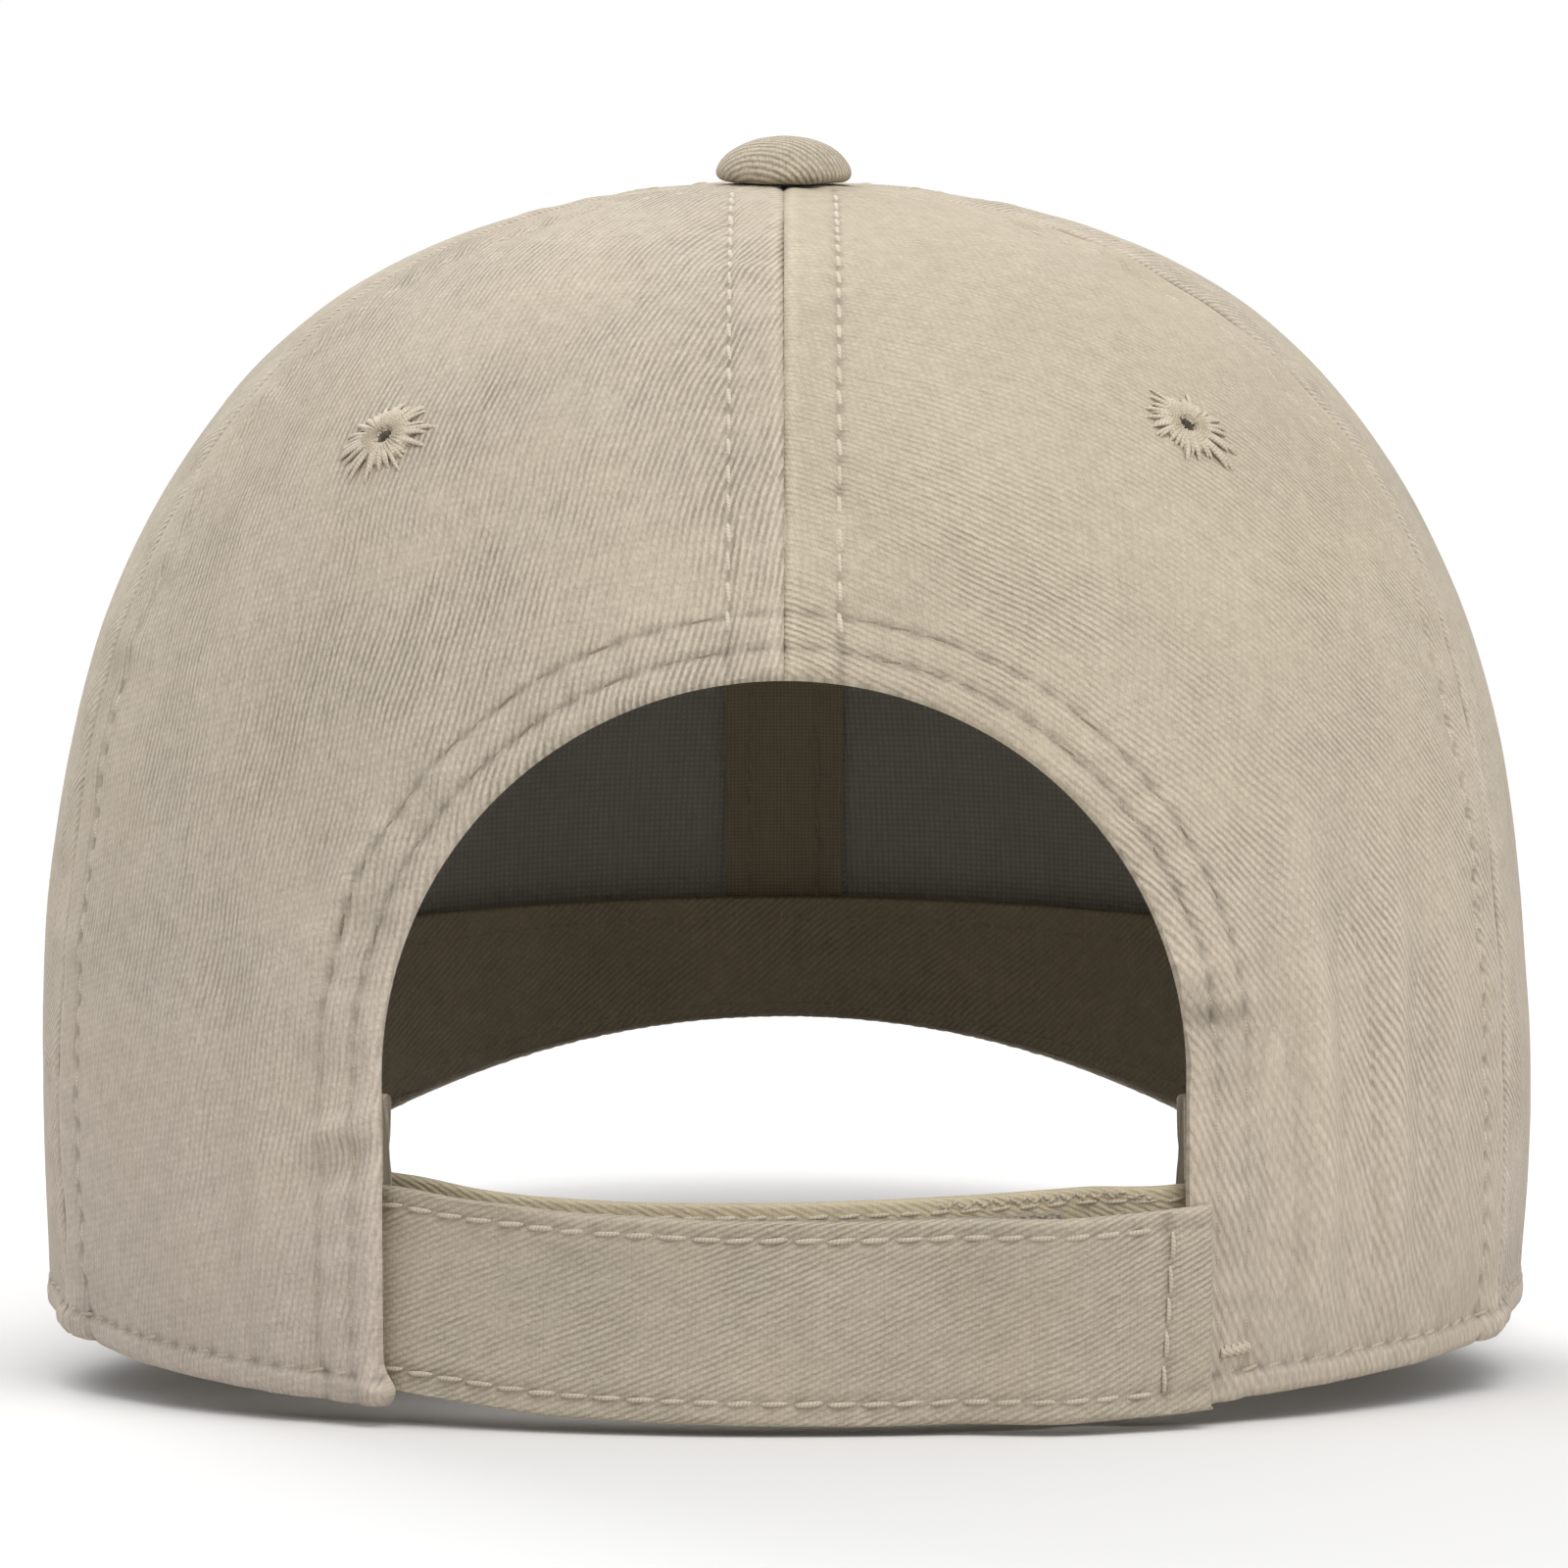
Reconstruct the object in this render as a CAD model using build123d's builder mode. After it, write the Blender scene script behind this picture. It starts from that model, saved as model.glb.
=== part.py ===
from build123d import *
import math
import os

os.makedirs("parts", exist_ok=True)

# Adjustable six-panel cap.  Millimetres, +Z up, origin on the hem plane.
# The visor points to -Y, the strap closure to +Y, +X is the wearer's left.
# Angles round the crown are in degrees from the rear (+Y), growing towards +X; the front is 180.
# They are those of the unstretched crown, before its front half is lengthened.
# A layer is a pair of depths inside the crown's outer surface: (outer face, inner face).

# ---------------------------------------------------------------- crown dimensions
crown_r = 85.0                      # nominal outer half width
crown_h = 127.6                     # hem to apex of the fabric
axis_y = 15.0                       # crown axis, in y
front_reach = 115.0                 # crown axis to the front, nominal
front_stretch = front_reach / crown_r
apex_r = 3.0                        # hole in the fabric layers for the button rivet

# outer surface of the crown, hem to apex: (radius, height)
crown_profile = [
    (84.10, 0.0), (84.83, 9.27), (85.18, 18.48), (85.20, 27.65), (84.89, 36.82),
    (84.22, 46.01), (83.15, 55.20), (81.57, 64.34), (79.37, 73.34), (76.38, 82.10),
    (72.48, 90.46), (67.60, 98.28), (61.73, 105.39), (54.94, 111.62), (47.35, 116.79),
    (39.12, 120.84), (30.41, 123.80), (21.40, 125.82), (12.23, 127.04), (apex_r, 127.57),
]

twill = (0, 0.85)                   # panels
lining = (1.0, 1.8)                 # front stiffener and rear opening binding
tape = (1.9, 2.5)                   # seam tapes
pad = (4.4, 5.4)                    # sweatband padding
face = (5.5, 6.1)                   # sweatband face

side_seam = 71.0                    # seam angles
front_seam = 123.0
seam_gap = 0.035                    # half gap between neighbouring panels, degrees
buckram_gap = 0.1                   # gap from a stiffener edge to its seam, degrees

tape_w = 15.0
tape_side_gap = 0.3                 # centre tape to a side tape
tape_half_gap = 0.05                # half gap between front and rear side tapes
tape_rear_from, tape_front_to = 20, 170     # angles of the shells the side tapes are cut from

arch_r = 42.6                       # rear opening half width and arch radius
arch_z = 35.6                       # height of the arch centre
arch_below = 6.0                    # how far the opening cutter runs below the hem
binding_w = 10.0
binding_reach = 60                  # angle either side of the rear

band_h = 33.0                       # sweatband height
band_end = 31.4                     # angle where the sweatband stops
pad_drop = 3                        # padding stops this far below the face's top
pad_setback = 1.5                   # and this many degrees short of its ends

# ---------------------------------------------------------------- visor dimensions
visor_r = 120.0                     # bend radius of the top surface
visor_slope = math.radians(8.0)     # downward slope
visor_z = 20.0                      # height of the top at the front seam
visor_t = 3.6                       # whole thickness
cover_t = 0.8                       # cover cloth
visor_mid_r = visor_r - visor_t / 2
cover_half_gap = 0.03               # half gap between the two covers at the rim
visor_gap = 0.1                     # visor top to the crown layers above it
board_gap = 0.1                     # board to the cloth above and below
rim_w = 1.6                         # rim where the covers meet round the board
board_inset = rim_w + 0.15
visor_root = 3.7                    # depth inside the crown where the visor starts
visor_back_x, visor_back_y = 66, -16        # back corners of the plan, inside the crown

# outer edge in plan from the left side to the tip: (x, y); the right side mirrors it
visor_left_edge = [
    (76.0, -36.5), (81.6, -52.0), (83.6, -70.0), (82.4, -90.0), (77.6, -112.0),
    (68.0, -133.0), (52.0, -151.5), (28.0, -165.5), (0.0, -170.0),
]
visor_edge = visor_left_edge + [(-x, y) for x, y in reversed(visor_left_edge[:-1])]

# ---------------------------------------------------------------- button and eyelet dimensions
button_r = 7.75
rivet_r = 1.2
rivet_foot = -3.4                   # top of the rivet's foot, from the crown apex
washer_r = 6.0
washer_t = 0.5
washer_gap = 0.05                   # washer to rivet shank and foot

eyelet_r = 4.0
eyelet_bore = 1.2                   # radius of the open middle
eyelet_hole = 2.0                   # radius of the hole in the cloth
eyelet_z = 102.5
# (angle, height)
eyelet_sites = [
    (41.4, 101.8), (-43.0, 103.1),
    (103.0, eyelet_z), (-103.0, eyelet_z), (151.5, eyelet_z), (-151.5, eyelet_z),
]

# ---------------------------------------------------------------- strap and label dimensions
strap_t = 1.2
strap_lo, strap_hi = 0.5, 22.5      # bottom and top edges
under_hi = strap_hi + 0.6           # top edge of the under strap
strap_r_in = 81.1                   # inner radius inside the crown
strap_r_over = 85.5                 # inner radius where the free end lies on the panel
strap_anchor = 42.0                 # angle where each strap root ends in the crown
rise_start, rise_span = -12.0, 9.0  # outer strap steps outwards, going towards -X
strap_end = -31.8                   # free end of the flap
strap_corner = 1.5                  # rounding of the free end
hinge = 9.0                         # angle of the joint between strap root and flap
hinge_half_gap = 0.25
under_root_end = -30.5
under_start, under_end = -29.9, 30.6
drop_span = 6.0                     # under strap steps inwards over this angle
fastener_t = 1.1                    # hook tape and loop tape thickness
fastener_gap = 0.1                  # clearance on each side of a tape
fastener_margin = 1.6               # tape edge to strap edge
under_drop = 2 * fastener_t + 3 * fastener_gap + strap_t

label_r, label_t = 77.5, 0.3
label_lo, label_hi = -62, -42       # angles
label_z, label_h = 4.0, 24

crown_axis = Axis((0, axis_y, 0), (0, 0, 1))


# ---------------------------------------------------------------- crown surface
def layer_points(depth):
    """Profile of the crown surface lying depth inside the outer one."""
    width_ratio = (crown_r - depth) / crown_r
    height_ratio = (crown_h - depth) / crown_h
    return [Vector(r * width_ratio, z * height_ratio) for r, z in crown_profile]


def surface_radius(z):
    """Outer radius at height z, by a cubic through the four nearest profile points."""
    i = 0
    while i < len(crown_profile) - 2 and crown_profile[i + 1][1] < z:
        i += 1
    near = crown_profile[max(0, min(i - 1, len(crown_profile) - 4)):][:4]
    total = 0.0
    for j, (term, term_z) in enumerate(near):
        for k, (_, other_z) in enumerate(near):
            if k != j:
                term *= (z - other_z) / (term_z - other_z)
        total += term
    return total


def surface_frame(angle, z):
    """Plane tangent to the outer surface, x level, normal outwards."""
    stretch = front_stretch if abs(angle) > 90 else 1.0
    sine, cosine = math.sin(math.radians(angle)), math.cos(math.radians(angle))
    radius = surface_radius(z)
    probe = 0.8
    slope = (surface_radius(z + probe) - surface_radius(z - probe)) / (2 * probe)
    point = Vector(radius * sine, axis_y + stretch * radius * cosine, z)
    along = Vector(radius * cosine, -stretch * radius * sine, 0).normalized()
    up = Vector(slope * sine, stretch * slope * cosine, 1).normalized()
    out = up.cross(along).normalized()
    if out.dot(Vector(sine, cosine, 0)) < 0:
        out = out * -1
    return Plane(origin=point, x_dir=along, z_dir=out)


def meridian(angle):
    """Vertical plane through the crown axis, x along the radius at the angle."""
    sine, cosine = math.sin(math.radians(angle)), math.cos(math.radians(angle))
    return Plane(origin=(0, axis_y, 0), x_dir=(sine, cosine, 0), z_dir=(cosine, -sine, 0))


def shell(layer, lo, hi, front=False, top=None):
    """One layer between two angles, lo < hi, of the rear or front half, cut off at top."""
    outer, inner = (layer_points(depth) for depth in layer)
    with BuildPart() as piece:
        # a positive turn about +Z runs from hi down to lo
        with BuildSketch(meridian(hi)):
            with BuildLine():
                Spline(*outer)
                Line(outer[-1], inner[-1])
                Spline(*inner)
                Line(inner[0], outer[0])
            make_face()
        revolve(axis=crown_axis, revolution_arc=hi - lo)
        if front:
            scale(by=(1, front_stretch, 1), about=(0, axis_y, 0))
        if top is not None:
            with BuildSketch(Plane.XY.offset(top)):
                Rectangle(260, 300)
            extrude(amount=160, mode=Mode.SUBTRACT)
    return piece.part


# ---------------------------------------------------------------- cutting tools
def front_core(depth, low=-45.0):
    """Solid front half of the crown inside a depth, run down to z = low."""
    points = layer_points(depth)
    hem, apex = points[0], points[-1]
    with BuildPart() as piece:
        with BuildSketch(meridian(270)):
            with BuildLine():
                Spline(*points)
                Line(apex, (0, apex.Y))
                Line((0, apex.Y), (0, low))
                Line((0, low), (hem.X, low))
                Line((hem.X, low), hem)
            make_face()
        revolve(axis=crown_axis, revolution_arc=180)
        scale(by=(1, front_stretch, 1), about=(0, axis_y, 0))
    return piece.part


def barrel(radius):
    """Cylinder about the visor's bend axis, kept to y < -10."""
    forward = Vector(0, -math.cos(visor_slope), -math.sin(visor_slope))
    # point of the bend axis square below the visor's top at the front of the crown
    below_front = Vector(
        0,
        axis_y - front_reach + visor_r * math.sin(visor_slope),
        visor_z - visor_r * math.cos(visor_slope),
    )
    start = below_front - forward * 95
    with BuildPart() as piece:
        with BuildSketch(Plane(origin=start, x_dir=(1, 0, 0), z_dir=forward)):
            Circle(radius)
        extrude(amount=215)
        with BuildSketch(Plane.XY.offset(-80)):
            with Locations((0, -110)):
                Rectangle(260, 200)
        extrude(amount=160, mode=Mode.INTERSECT)
    return piece.part


def arch(half_width):
    """Prism of the rear opening, running along Y through the rear half."""
    with BuildPart() as piece:
        with BuildSketch(Plane.XZ.offset(-35)):
            with Locations((0, (arch_z - arch_below) / 2)):
                Rectangle(2 * half_width, arch_z + arch_below)
            with Locations((0, arch_z)):
                Circle(half_width)
        extrude(amount=-90)
    return piece.part


def tape_slab(along_x, along_y, start, stop):
    """Upright slab of tape width through the crown axis, from start to stop."""
    length = math.hypot(along_x, along_y)
    direction = (along_x / length, along_y / length, 0)
    with BuildPart() as piece:
        with BuildSketch(Plane(origin=(0, axis_y, -20), x_dir=direction, z_dir=(0, 0, 1))):
            with Locations(((start + stop) / 2, 0)):
                Rectangle(stop - start, tape_w)
        extrude(amount=180)
    return piece.part


def left_block(y_lo, y_hi):
    """Block on the +X side, clear of the centre tape."""
    x_lo, x_hi = tape_w / 2 + tape_side_gap, 120
    with BuildPart() as piece:
        with BuildSketch(Plane.XY.offset(-40)):
            with Locations(((x_lo + x_hi) / 2, (y_lo + y_hi) / 2)):
                Rectangle(x_hi - x_lo, y_hi - y_lo)
        extrude(amount=200)
    return piece.part


def punches(planes):
    """Pins that cut the eyelet holes."""
    with BuildPart() as piece:
        for plane in planes:
            with BuildSketch(plane.offset(-7)):
                Circle(eyelet_hole)
            extrude(amount=12)
    return piece.part


eyelet_planes = [surface_frame(angle, z) for angle, z in eyelet_sites]
hole_pins = punches(eyelet_planes)
opening = arch(arch_r)
visor_over = barrel(visor_r + visor_gap)
visor_below = barrel(visor_r - visor_t)


# ---------------------------------------------------------------- crown pieces
def mirrored(part):
    with BuildPart() as piece:
        mirror(part, about=Plane.YZ)
    return piece.part


def rear_panel(lo, hi):
    with BuildPart() as piece:
        add(shell(twill, lo, hi))
        add(opening, mode=Mode.SUBTRACT)
        add(hole_pins, mode=Mode.SUBTRACT)
    return piece.part


def side_panel():
    """Left side panel, which spans the stretched and unstretched halves."""
    with BuildPart() as piece:
        add(shell(twill, 90, front_seam - seam_gap, front=True))
        add(visor_over, mode=Mode.SUBTRACT)
        add(shell(twill, side_seam + seam_gap, 90))
        add(hole_pins, mode=Mode.SUBTRACT)
    return piece.part


def front_piece(layer, gap):
    """Left front panel or the stiffener behind it."""
    with BuildPart() as piece:
        add(shell(layer, front_seam + gap, 180 - gap, front=True))
        add(visor_over, mode=Mode.SUBTRACT)
        add(hole_pins, mode=Mode.SUBTRACT)
    return piece.part


def center_tape():
    with BuildPart() as piece:
        add(shell(tape, 90, 270, front=True))
        add(visor_over, mode=Mode.SUBTRACT)
        add(shell(tape, -90, 90))
        add(tape_slab(0, 1, -150, 150), mode=Mode.INTERSECT)
        add(opening, mode=Mode.SUBTRACT)
    return piece.part


def left_rear_tape():
    seam = math.radians(side_seam)
    with BuildPart() as piece:
        add(shell(tape, tape_rear_from, 90))
        add(tape_slab(math.sin(seam), math.cos(seam), 0, 130), mode=Mode.INTERSECT)
        add(left_block(axis_y + tape_half_gap, 120), mode=Mode.INTERSECT)
    return piece.part


def left_front_tape():
    seam = math.radians(front_seam)
    slab = tape_slab(math.sin(seam), front_stretch * math.cos(seam), 0, 160)
    with BuildPart() as piece:
        add(shell(tape, 90, tape_front_to, front=True))
        add(slab, mode=Mode.INTERSECT)
        add(left_block(-150, axis_y - tape_half_gap), mode=Mode.INTERSECT)
        add(visor_over, mode=Mode.SUBTRACT)
    return piece.part


def opening_binding():
    with BuildPart() as piece:
        add(shell(lining, -binding_reach, binding_reach))
        add(arch(arch_r + binding_w), mode=Mode.INTERSECT)
        add(opening, mode=Mode.SUBTRACT)
    return piece.part


def sweatband(layer, end, top):
    """Band round the inside of the hem, open at the rear between -end and end."""
    with BuildPart() as piece:
        add(shell(layer, 90, 270, front=True, top=top))
        add(visor_below, mode=Mode.SUBTRACT)
        add(shell(layer, end, 90, top=top))
        add(shell(layer, 270, 360 - end, top=top))
    return piece.part


# ---------------------------------------------------------------- visor
def visor_plan(inset):
    """Upright prism of the visor in plan, its outer edge moved inwards by inset."""
    edge = []
    last = len(visor_edge) - 1
    for i, (x, y) in enumerate(visor_edge):
        x0, y0 = visor_edge[max(0, i - 1)]
        x1, y1 = visor_edge[min(last, i + 1)]
        length = math.hypot(x1 - x0, y1 - y0)
        edge.append(Vector(x + inset * (y1 - y0) / length, y - inset * (x1 - x0) / length))
    back_right = (-visor_back_x, visor_back_y)
    back_left = (visor_back_x, visor_back_y)
    with BuildPart() as piece:
        with BuildSketch(Plane.XY.offset(-60)):
            with BuildLine():
                Spline(*edge)
                Line(edge[-1], back_right)
                Line(back_right, back_left)
                Line(back_left, edge[0])
            make_face()
        extrude(amount=110)
    return piece.part


visor_full = visor_plan(0)
visor_pocket = visor_plan(rim_w)
crown_core = front_core(visor_root)


def visor_top_cover():
    with BuildPart() as pocket:
        add(visor_pocket)
        add(barrel(visor_r - cover_t), mode=Mode.INTERSECT)
    with BuildPart() as piece:
        add(visor_full)
        add(barrel(visor_r), mode=Mode.INTERSECT)
        add(barrel(visor_mid_r + cover_half_gap), mode=Mode.SUBTRACT)
        add(pocket.part, mode=Mode.SUBTRACT)
        add(crown_core, mode=Mode.SUBTRACT)
    return piece.part


def visor_board():
    with BuildPart() as piece:
        add(visor_plan(board_inset))
        add(barrel(visor_r - cover_t - board_gap), mode=Mode.INTERSECT)
        add(barrel(visor_r - visor_t + cover_t + board_gap), mode=Mode.SUBTRACT)
        add(crown_core, mode=Mode.SUBTRACT)
    return piece.part


def visor_under_cover():
    with BuildPart() as pocket:
        add(visor_pocket)
        add(barrel(visor_r - visor_t + cover_t), mode=Mode.SUBTRACT)
    with BuildPart() as piece:
        add(visor_full)
        add(barrel(visor_mid_r - cover_half_gap), mode=Mode.INTERSECT)
        add(visor_below, mode=Mode.SUBTRACT)
        add(pocket.part, mode=Mode.SUBTRACT)
        add(crown_core, mode=Mode.SUBTRACT)
    return piece.part


# ---------------------------------------------------------------- button on the crown
# Half sections as runs of (curve, points); a point is (radius, height above the apex).
button_cover_section = [
    (Polyline, [(5.0, 0.75), (5.0, 0.1), (7.0, 0.15)]),
    (Spline, [(7.0, 0.15), (button_r, 1.35), (6.9, 3.35), (4.2, 4.85), (0, 5.35)]),
    (Line, [(0, 5.35), (0, 4.75)]),
    (Spline, [(0, 4.75), (3.9, 4.3), (6.35, 3.0), (7.1, 1.4), (6.7, 0.75)]),
    (Line, [(6.7, 0.75), (5.0, 0.75)]),
]
button_shell_section = [
    (Line, [(6.3, 0.85), (5.4, 0.85)]),
    (Line, [(5.4, 0.85), (5.7, 1.5)]),
    (Spline, [(5.7, 1.5), (5.3, 2.4), (3.4, 3.4), (0, 3.75)]),
    (Line, [(0, 3.75), (0, 4.6)]),
    (Spline, [(0, 4.6), (3.7, 4.15), (6.0, 2.9), (6.75, 1.5), (6.3, 0.85)]),
]
button_rivet_section = [
    (Polyline, [
        (0, 2.6), (3.0, 2.3), (3.0, 1.9), (rivet_r, 1.6), (rivet_r, rivet_foot),
        (2.3, rivet_foot), (2.3, rivet_foot - 0.5), (0, rivet_foot - 0.5), (0, 2.6),
    ]),
]


def turned(section):
    """Half section revolved about the crown axis."""
    with BuildPart() as piece:
        with BuildSketch(Plane(origin=(0, axis_y, 0), x_dir=(1, 0, 0), z_dir=(0, -1, 0))):
            with BuildLine():
                for curve, points in section:
                    curve(*[(radius, crown_h + height) for radius, height in points])
            make_face()
        revolve(axis=crown_axis)
    return piece.part


def button_washer():
    with BuildPart() as piece:
        with BuildSketch(Plane.XY.offset(crown_h + rivet_foot + washer_gap)):
            with Locations((0, axis_y)):
                Circle(washer_r)
                Circle(rivet_r + washer_gap, mode=Mode.SUBTRACT)
        extrude(amount=washer_t)
    return piece.part


# ---------------------------------------------------------------- embroidered eyelets
def eyelets():
    """At each site a ring on the cloth and a sleeve through the hole."""
    with BuildPart() as piece:
        for plane in eyelet_planes:
            with BuildSketch(plane.offset(0.06)):
                Circle(eyelet_r)
                Circle(eyelet_bore, mode=Mode.SUBTRACT)
            extrude(amount=0.55)
            with BuildSketch(plane.offset(-1.0)):
                Circle(eyelet_hole - 0.1)
                Circle(eyelet_bore, mode=Mode.SUBTRACT)
            extrude(amount=1.2)
    return piece.part


# ---------------------------------------------------------------- strap closure and label
def smooth_step(x):
    x = max(0.0, min(1.0, x))
    return x * x * (3 - 2 * x)


def outer_radius(angle):
    """Inner radius of the outer strap: inside the crown, then over the -X panel."""
    rise = smooth_step((rise_start - angle) / rise_span)
    return strap_r_in + (strap_r_over - strap_r_in) * rise


def under_radius(angle):
    """Inner radius of the under strap: level with its root, then behind the hook tape."""
    return strap_r_in - under_drop * smooth_step((angle - under_start) / drop_span)


def hook_radius(angle):
    return outer_radius(angle) - fastener_t - fastener_gap


def loop_radius(angle):
    return under_radius(angle) + strap_t + fastener_gap


def label_radius(angle):
    return label_r


def arc_band(radius, thick, lo, hi, z_lo, z_hi, corner=0.0, spans=None):
    """Upright band following a radius law from lo to hi, its lo end rounded by corner."""
    spans = spans or max(6, int((hi - lo) / 1.5))
    angles = [lo + (hi - lo) * i / spans for i in range(spans + 1)]

    def at(angle, extra):
        reach = radius(angle) + extra
        turn = math.radians(angle)
        return Vector(reach * math.sin(turn), axis_y + reach * math.cos(turn))

    inner = [at(angle, 0) for angle in angles]
    outer = [at(angle, thick) for angle in angles]
    with BuildPart() as piece:
        with BuildSketch(Plane.XY.offset(z_lo)):
            with BuildLine():
                Spline(*inner)
                Line(inner[-1], outer[-1])
                Spline(*outer)
                Line(inner[0], outer[0])
            make_face()
        extrude(amount=z_hi - z_lo)
        if corner:
            # the short level edges across the thickness, at the lo end only
            ends = piece.edges().filter_by(
                lambda e: e.length < thick * 1.3 and abs(e.tangent_at(0.5).Z) < 0.1
            )
            tip = inner[0]
            ends = [e for e in ends if (Vector(e.center().X, e.center().Y) - tip).length < 2.5]
            fillet(ends, radius=corner)
    return piece.part


# ---------------------------------------------------------------- files
pieces = {
    "rear_panel_left": rear_panel(seam_gap, side_seam - seam_gap),
    "rear_panel_right": rear_panel(360 - side_seam + seam_gap, 360 - seam_gap),
    "side_panel_left": side_panel(),
    "front_panel_left": front_piece(twill, seam_gap),
    "buckram_left": front_piece(lining, buckram_gap),
    "seam_tape_center": center_tape(),
    "seam_tape_left_rear": left_rear_tape(),
    "seam_tape_left_front": left_front_tape(),
    "opening_binding": opening_binding(),
    "sweatband_pad": sweatband(pad, band_end + pad_setback, band_h - pad_drop),
    "sweatband_face": sweatband(face, band_end, band_h),
    "visor_top_cover": visor_top_cover(),
    "visor_board": visor_board(),
    "visor_under_cover": visor_under_cover(),
    "button_cover": turned(button_cover_section),
    "button_shell": turned(button_shell_section),
    "button_rivet": turned(button_rivet_section),
    "button_washer": button_washer(),
    "eyelets": eyelets(),
    "strap_root": arc_band(
        outer_radius, strap_t, hinge + hinge_half_gap, strap_anchor, strap_lo, strap_hi
    ),
    "strap_flap": arc_band(
        outer_radius, strap_t, strap_end, hinge - hinge_half_gap, strap_lo, strap_hi,
        corner=strap_corner,
    ),
    "hook_tape": arc_band(
        hook_radius, fastener_t, -20.5, hinge - 1.2,
        strap_lo + fastener_margin, strap_hi - fastener_margin,
    ),
    "under_strap_root": arc_band(
        under_radius, strap_t, -strap_anchor, under_root_end, strap_lo, under_hi
    ),
    "under_strap": arc_band(under_radius, strap_t, under_start, under_end, strap_lo, under_hi),
    "loop_tape": arc_band(
        loop_radius, fastener_t, -22.0, under_end - 0.8,
        strap_lo + fastener_margin, under_hi - fastener_margin,
    ),
    "care_label": arc_band(
        label_radius, label_t, label_lo, label_hi, label_z, label_z + label_h, spans=4
    ),
}
for left_name in (
    "side_panel_left", "front_panel_left", "buckram_left",
    "seam_tape_left_rear", "seam_tape_left_front",
):
    pieces[left_name.replace("left", "right")] = mirrored(pieces[left_name])

for name, part in pieces.items():
    part.label = name
    export_step(part, "parts/" + name + ".step")
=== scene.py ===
"""A six-panel cotton cap with a curved visor and a hook-and-loop strap, set up to be seen from
behind.

The crown stands on z = 0 round the upright axis x = 0, y = 15 mm. The rear opening and the
strap face +Y, the visor points to -Y, and +X is the wearer's left. Lengths are in mm until
make_mesh turns them into metres; the stage, lights and camera are in metres.

A place on the crown is given as (side, a, s, depth): side is +1 for +X and -1 for -X, a is the
arc from the rear round to the front at unit radius, s the length of the path up the profile
from the hem, and depth how far the layer lies inside the outer surface.
"""
import math
import bmesh
import bpy
import numpy as np
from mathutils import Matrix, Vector


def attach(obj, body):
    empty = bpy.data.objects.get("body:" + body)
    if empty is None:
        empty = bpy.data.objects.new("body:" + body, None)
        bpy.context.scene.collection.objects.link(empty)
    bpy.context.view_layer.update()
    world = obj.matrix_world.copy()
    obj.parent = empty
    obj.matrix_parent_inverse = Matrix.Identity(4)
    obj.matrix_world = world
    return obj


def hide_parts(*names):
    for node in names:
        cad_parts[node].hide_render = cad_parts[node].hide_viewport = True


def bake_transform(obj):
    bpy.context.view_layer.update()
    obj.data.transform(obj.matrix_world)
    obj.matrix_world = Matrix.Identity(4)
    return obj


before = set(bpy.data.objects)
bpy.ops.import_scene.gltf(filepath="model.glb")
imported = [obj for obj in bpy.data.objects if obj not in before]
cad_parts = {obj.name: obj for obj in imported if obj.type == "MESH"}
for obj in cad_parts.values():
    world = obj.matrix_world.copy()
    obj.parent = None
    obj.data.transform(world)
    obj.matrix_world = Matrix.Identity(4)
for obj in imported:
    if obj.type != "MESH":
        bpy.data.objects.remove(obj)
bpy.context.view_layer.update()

# ------------------------------------------------------------------ driving dimensions, mm
# radius and height of the crown's outer surface, from the hem to the top
PROFILE = np.array([
    (84.10, 0.0), (84.83, 9.27), (85.18, 18.48), (85.20, 27.65), (84.89, 36.82),
    (84.22, 46.01), (83.15, 55.20), (81.57, 64.34), (79.37, 73.34), (76.38, 82.10),
    (72.48, 90.46), (67.60, 98.28), (61.73, 105.39), (54.94, 111.62), (47.35, 116.79),
    (39.12, 120.84), (30.41, 123.80), (21.40, 125.82), (12.23, 127.04), (3.0, 127.57),
])
CROWN_R, CROWN_H = 85.0, 127.6
AXIS_Y = 15.0
FRONT_STRETCH = 115.0 / 85.0  # the front half is stretched along y
OPENING_R, OPENING_Z = 43.3, 35.6  # round top of the rear opening, and its centre's height

# the visor's top is part of a tilted cylinder passing through (0, VISOR_Y, VISOR_Z)
VISOR_R, VISOR_TILT, VISOR_THICK = 120.0, math.radians(8.0), 3.6
VISOR_Y, VISOR_Z = -100, 20.0
VISOR_AXIS_Y = VISOR_Y + VISOR_R * math.sin(VISOR_TILT)
VISOR_AXIS_Z = VISOR_Z - VISOR_R * math.cos(VISOR_TILT)

STITCH_PITCH = 3.5
SEAM_ROW = 5.95  # stitch rows on either side of a seam
OPENING_ROWS = (2.9, 6.5)  # stitch rows round the rear opening
HEM_ROW = 3.1
SIDES = ((1, "left"), (-1, "right"))


# ------------------------------------------------------------------ the crown's plain surface
def natural_spline(t, y):
    """A natural cubic spline through (t, y), as a function."""
    n, gap = len(t), np.diff(t)
    matrix, right = np.zeros((n, n)), np.zeros(n)
    matrix[0, 0] = matrix[-1, -1] = 1
    for i in range(1, n - 1):
        matrix[i, i - 1 : i + 2] = gap[i - 1], 2 * (gap[i - 1] + gap[i]), gap[i]
        right[i] = 6 * ((y[i + 1] - y[i]) / gap[i] - (y[i] - y[i - 1]) / gap[i - 1])
    m = np.linalg.solve(matrix, right)

    def at(x):
        x = np.asarray(x, float)
        i = np.clip(np.searchsorted(t, x) - 1, 0, n - 2)
        d0, d1, g = x - t[i], t[i + 1] - x, gap[i]
        return (
            m[i] * d1**3 / (6 * g) + m[i + 1] * d0**3 / (6 * g)
            + (y[i] / g - m[i] * g / 6) * d1 + (y[i + 1] / g - m[i + 1] * g / 6) * d0
        )

    return at


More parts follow.
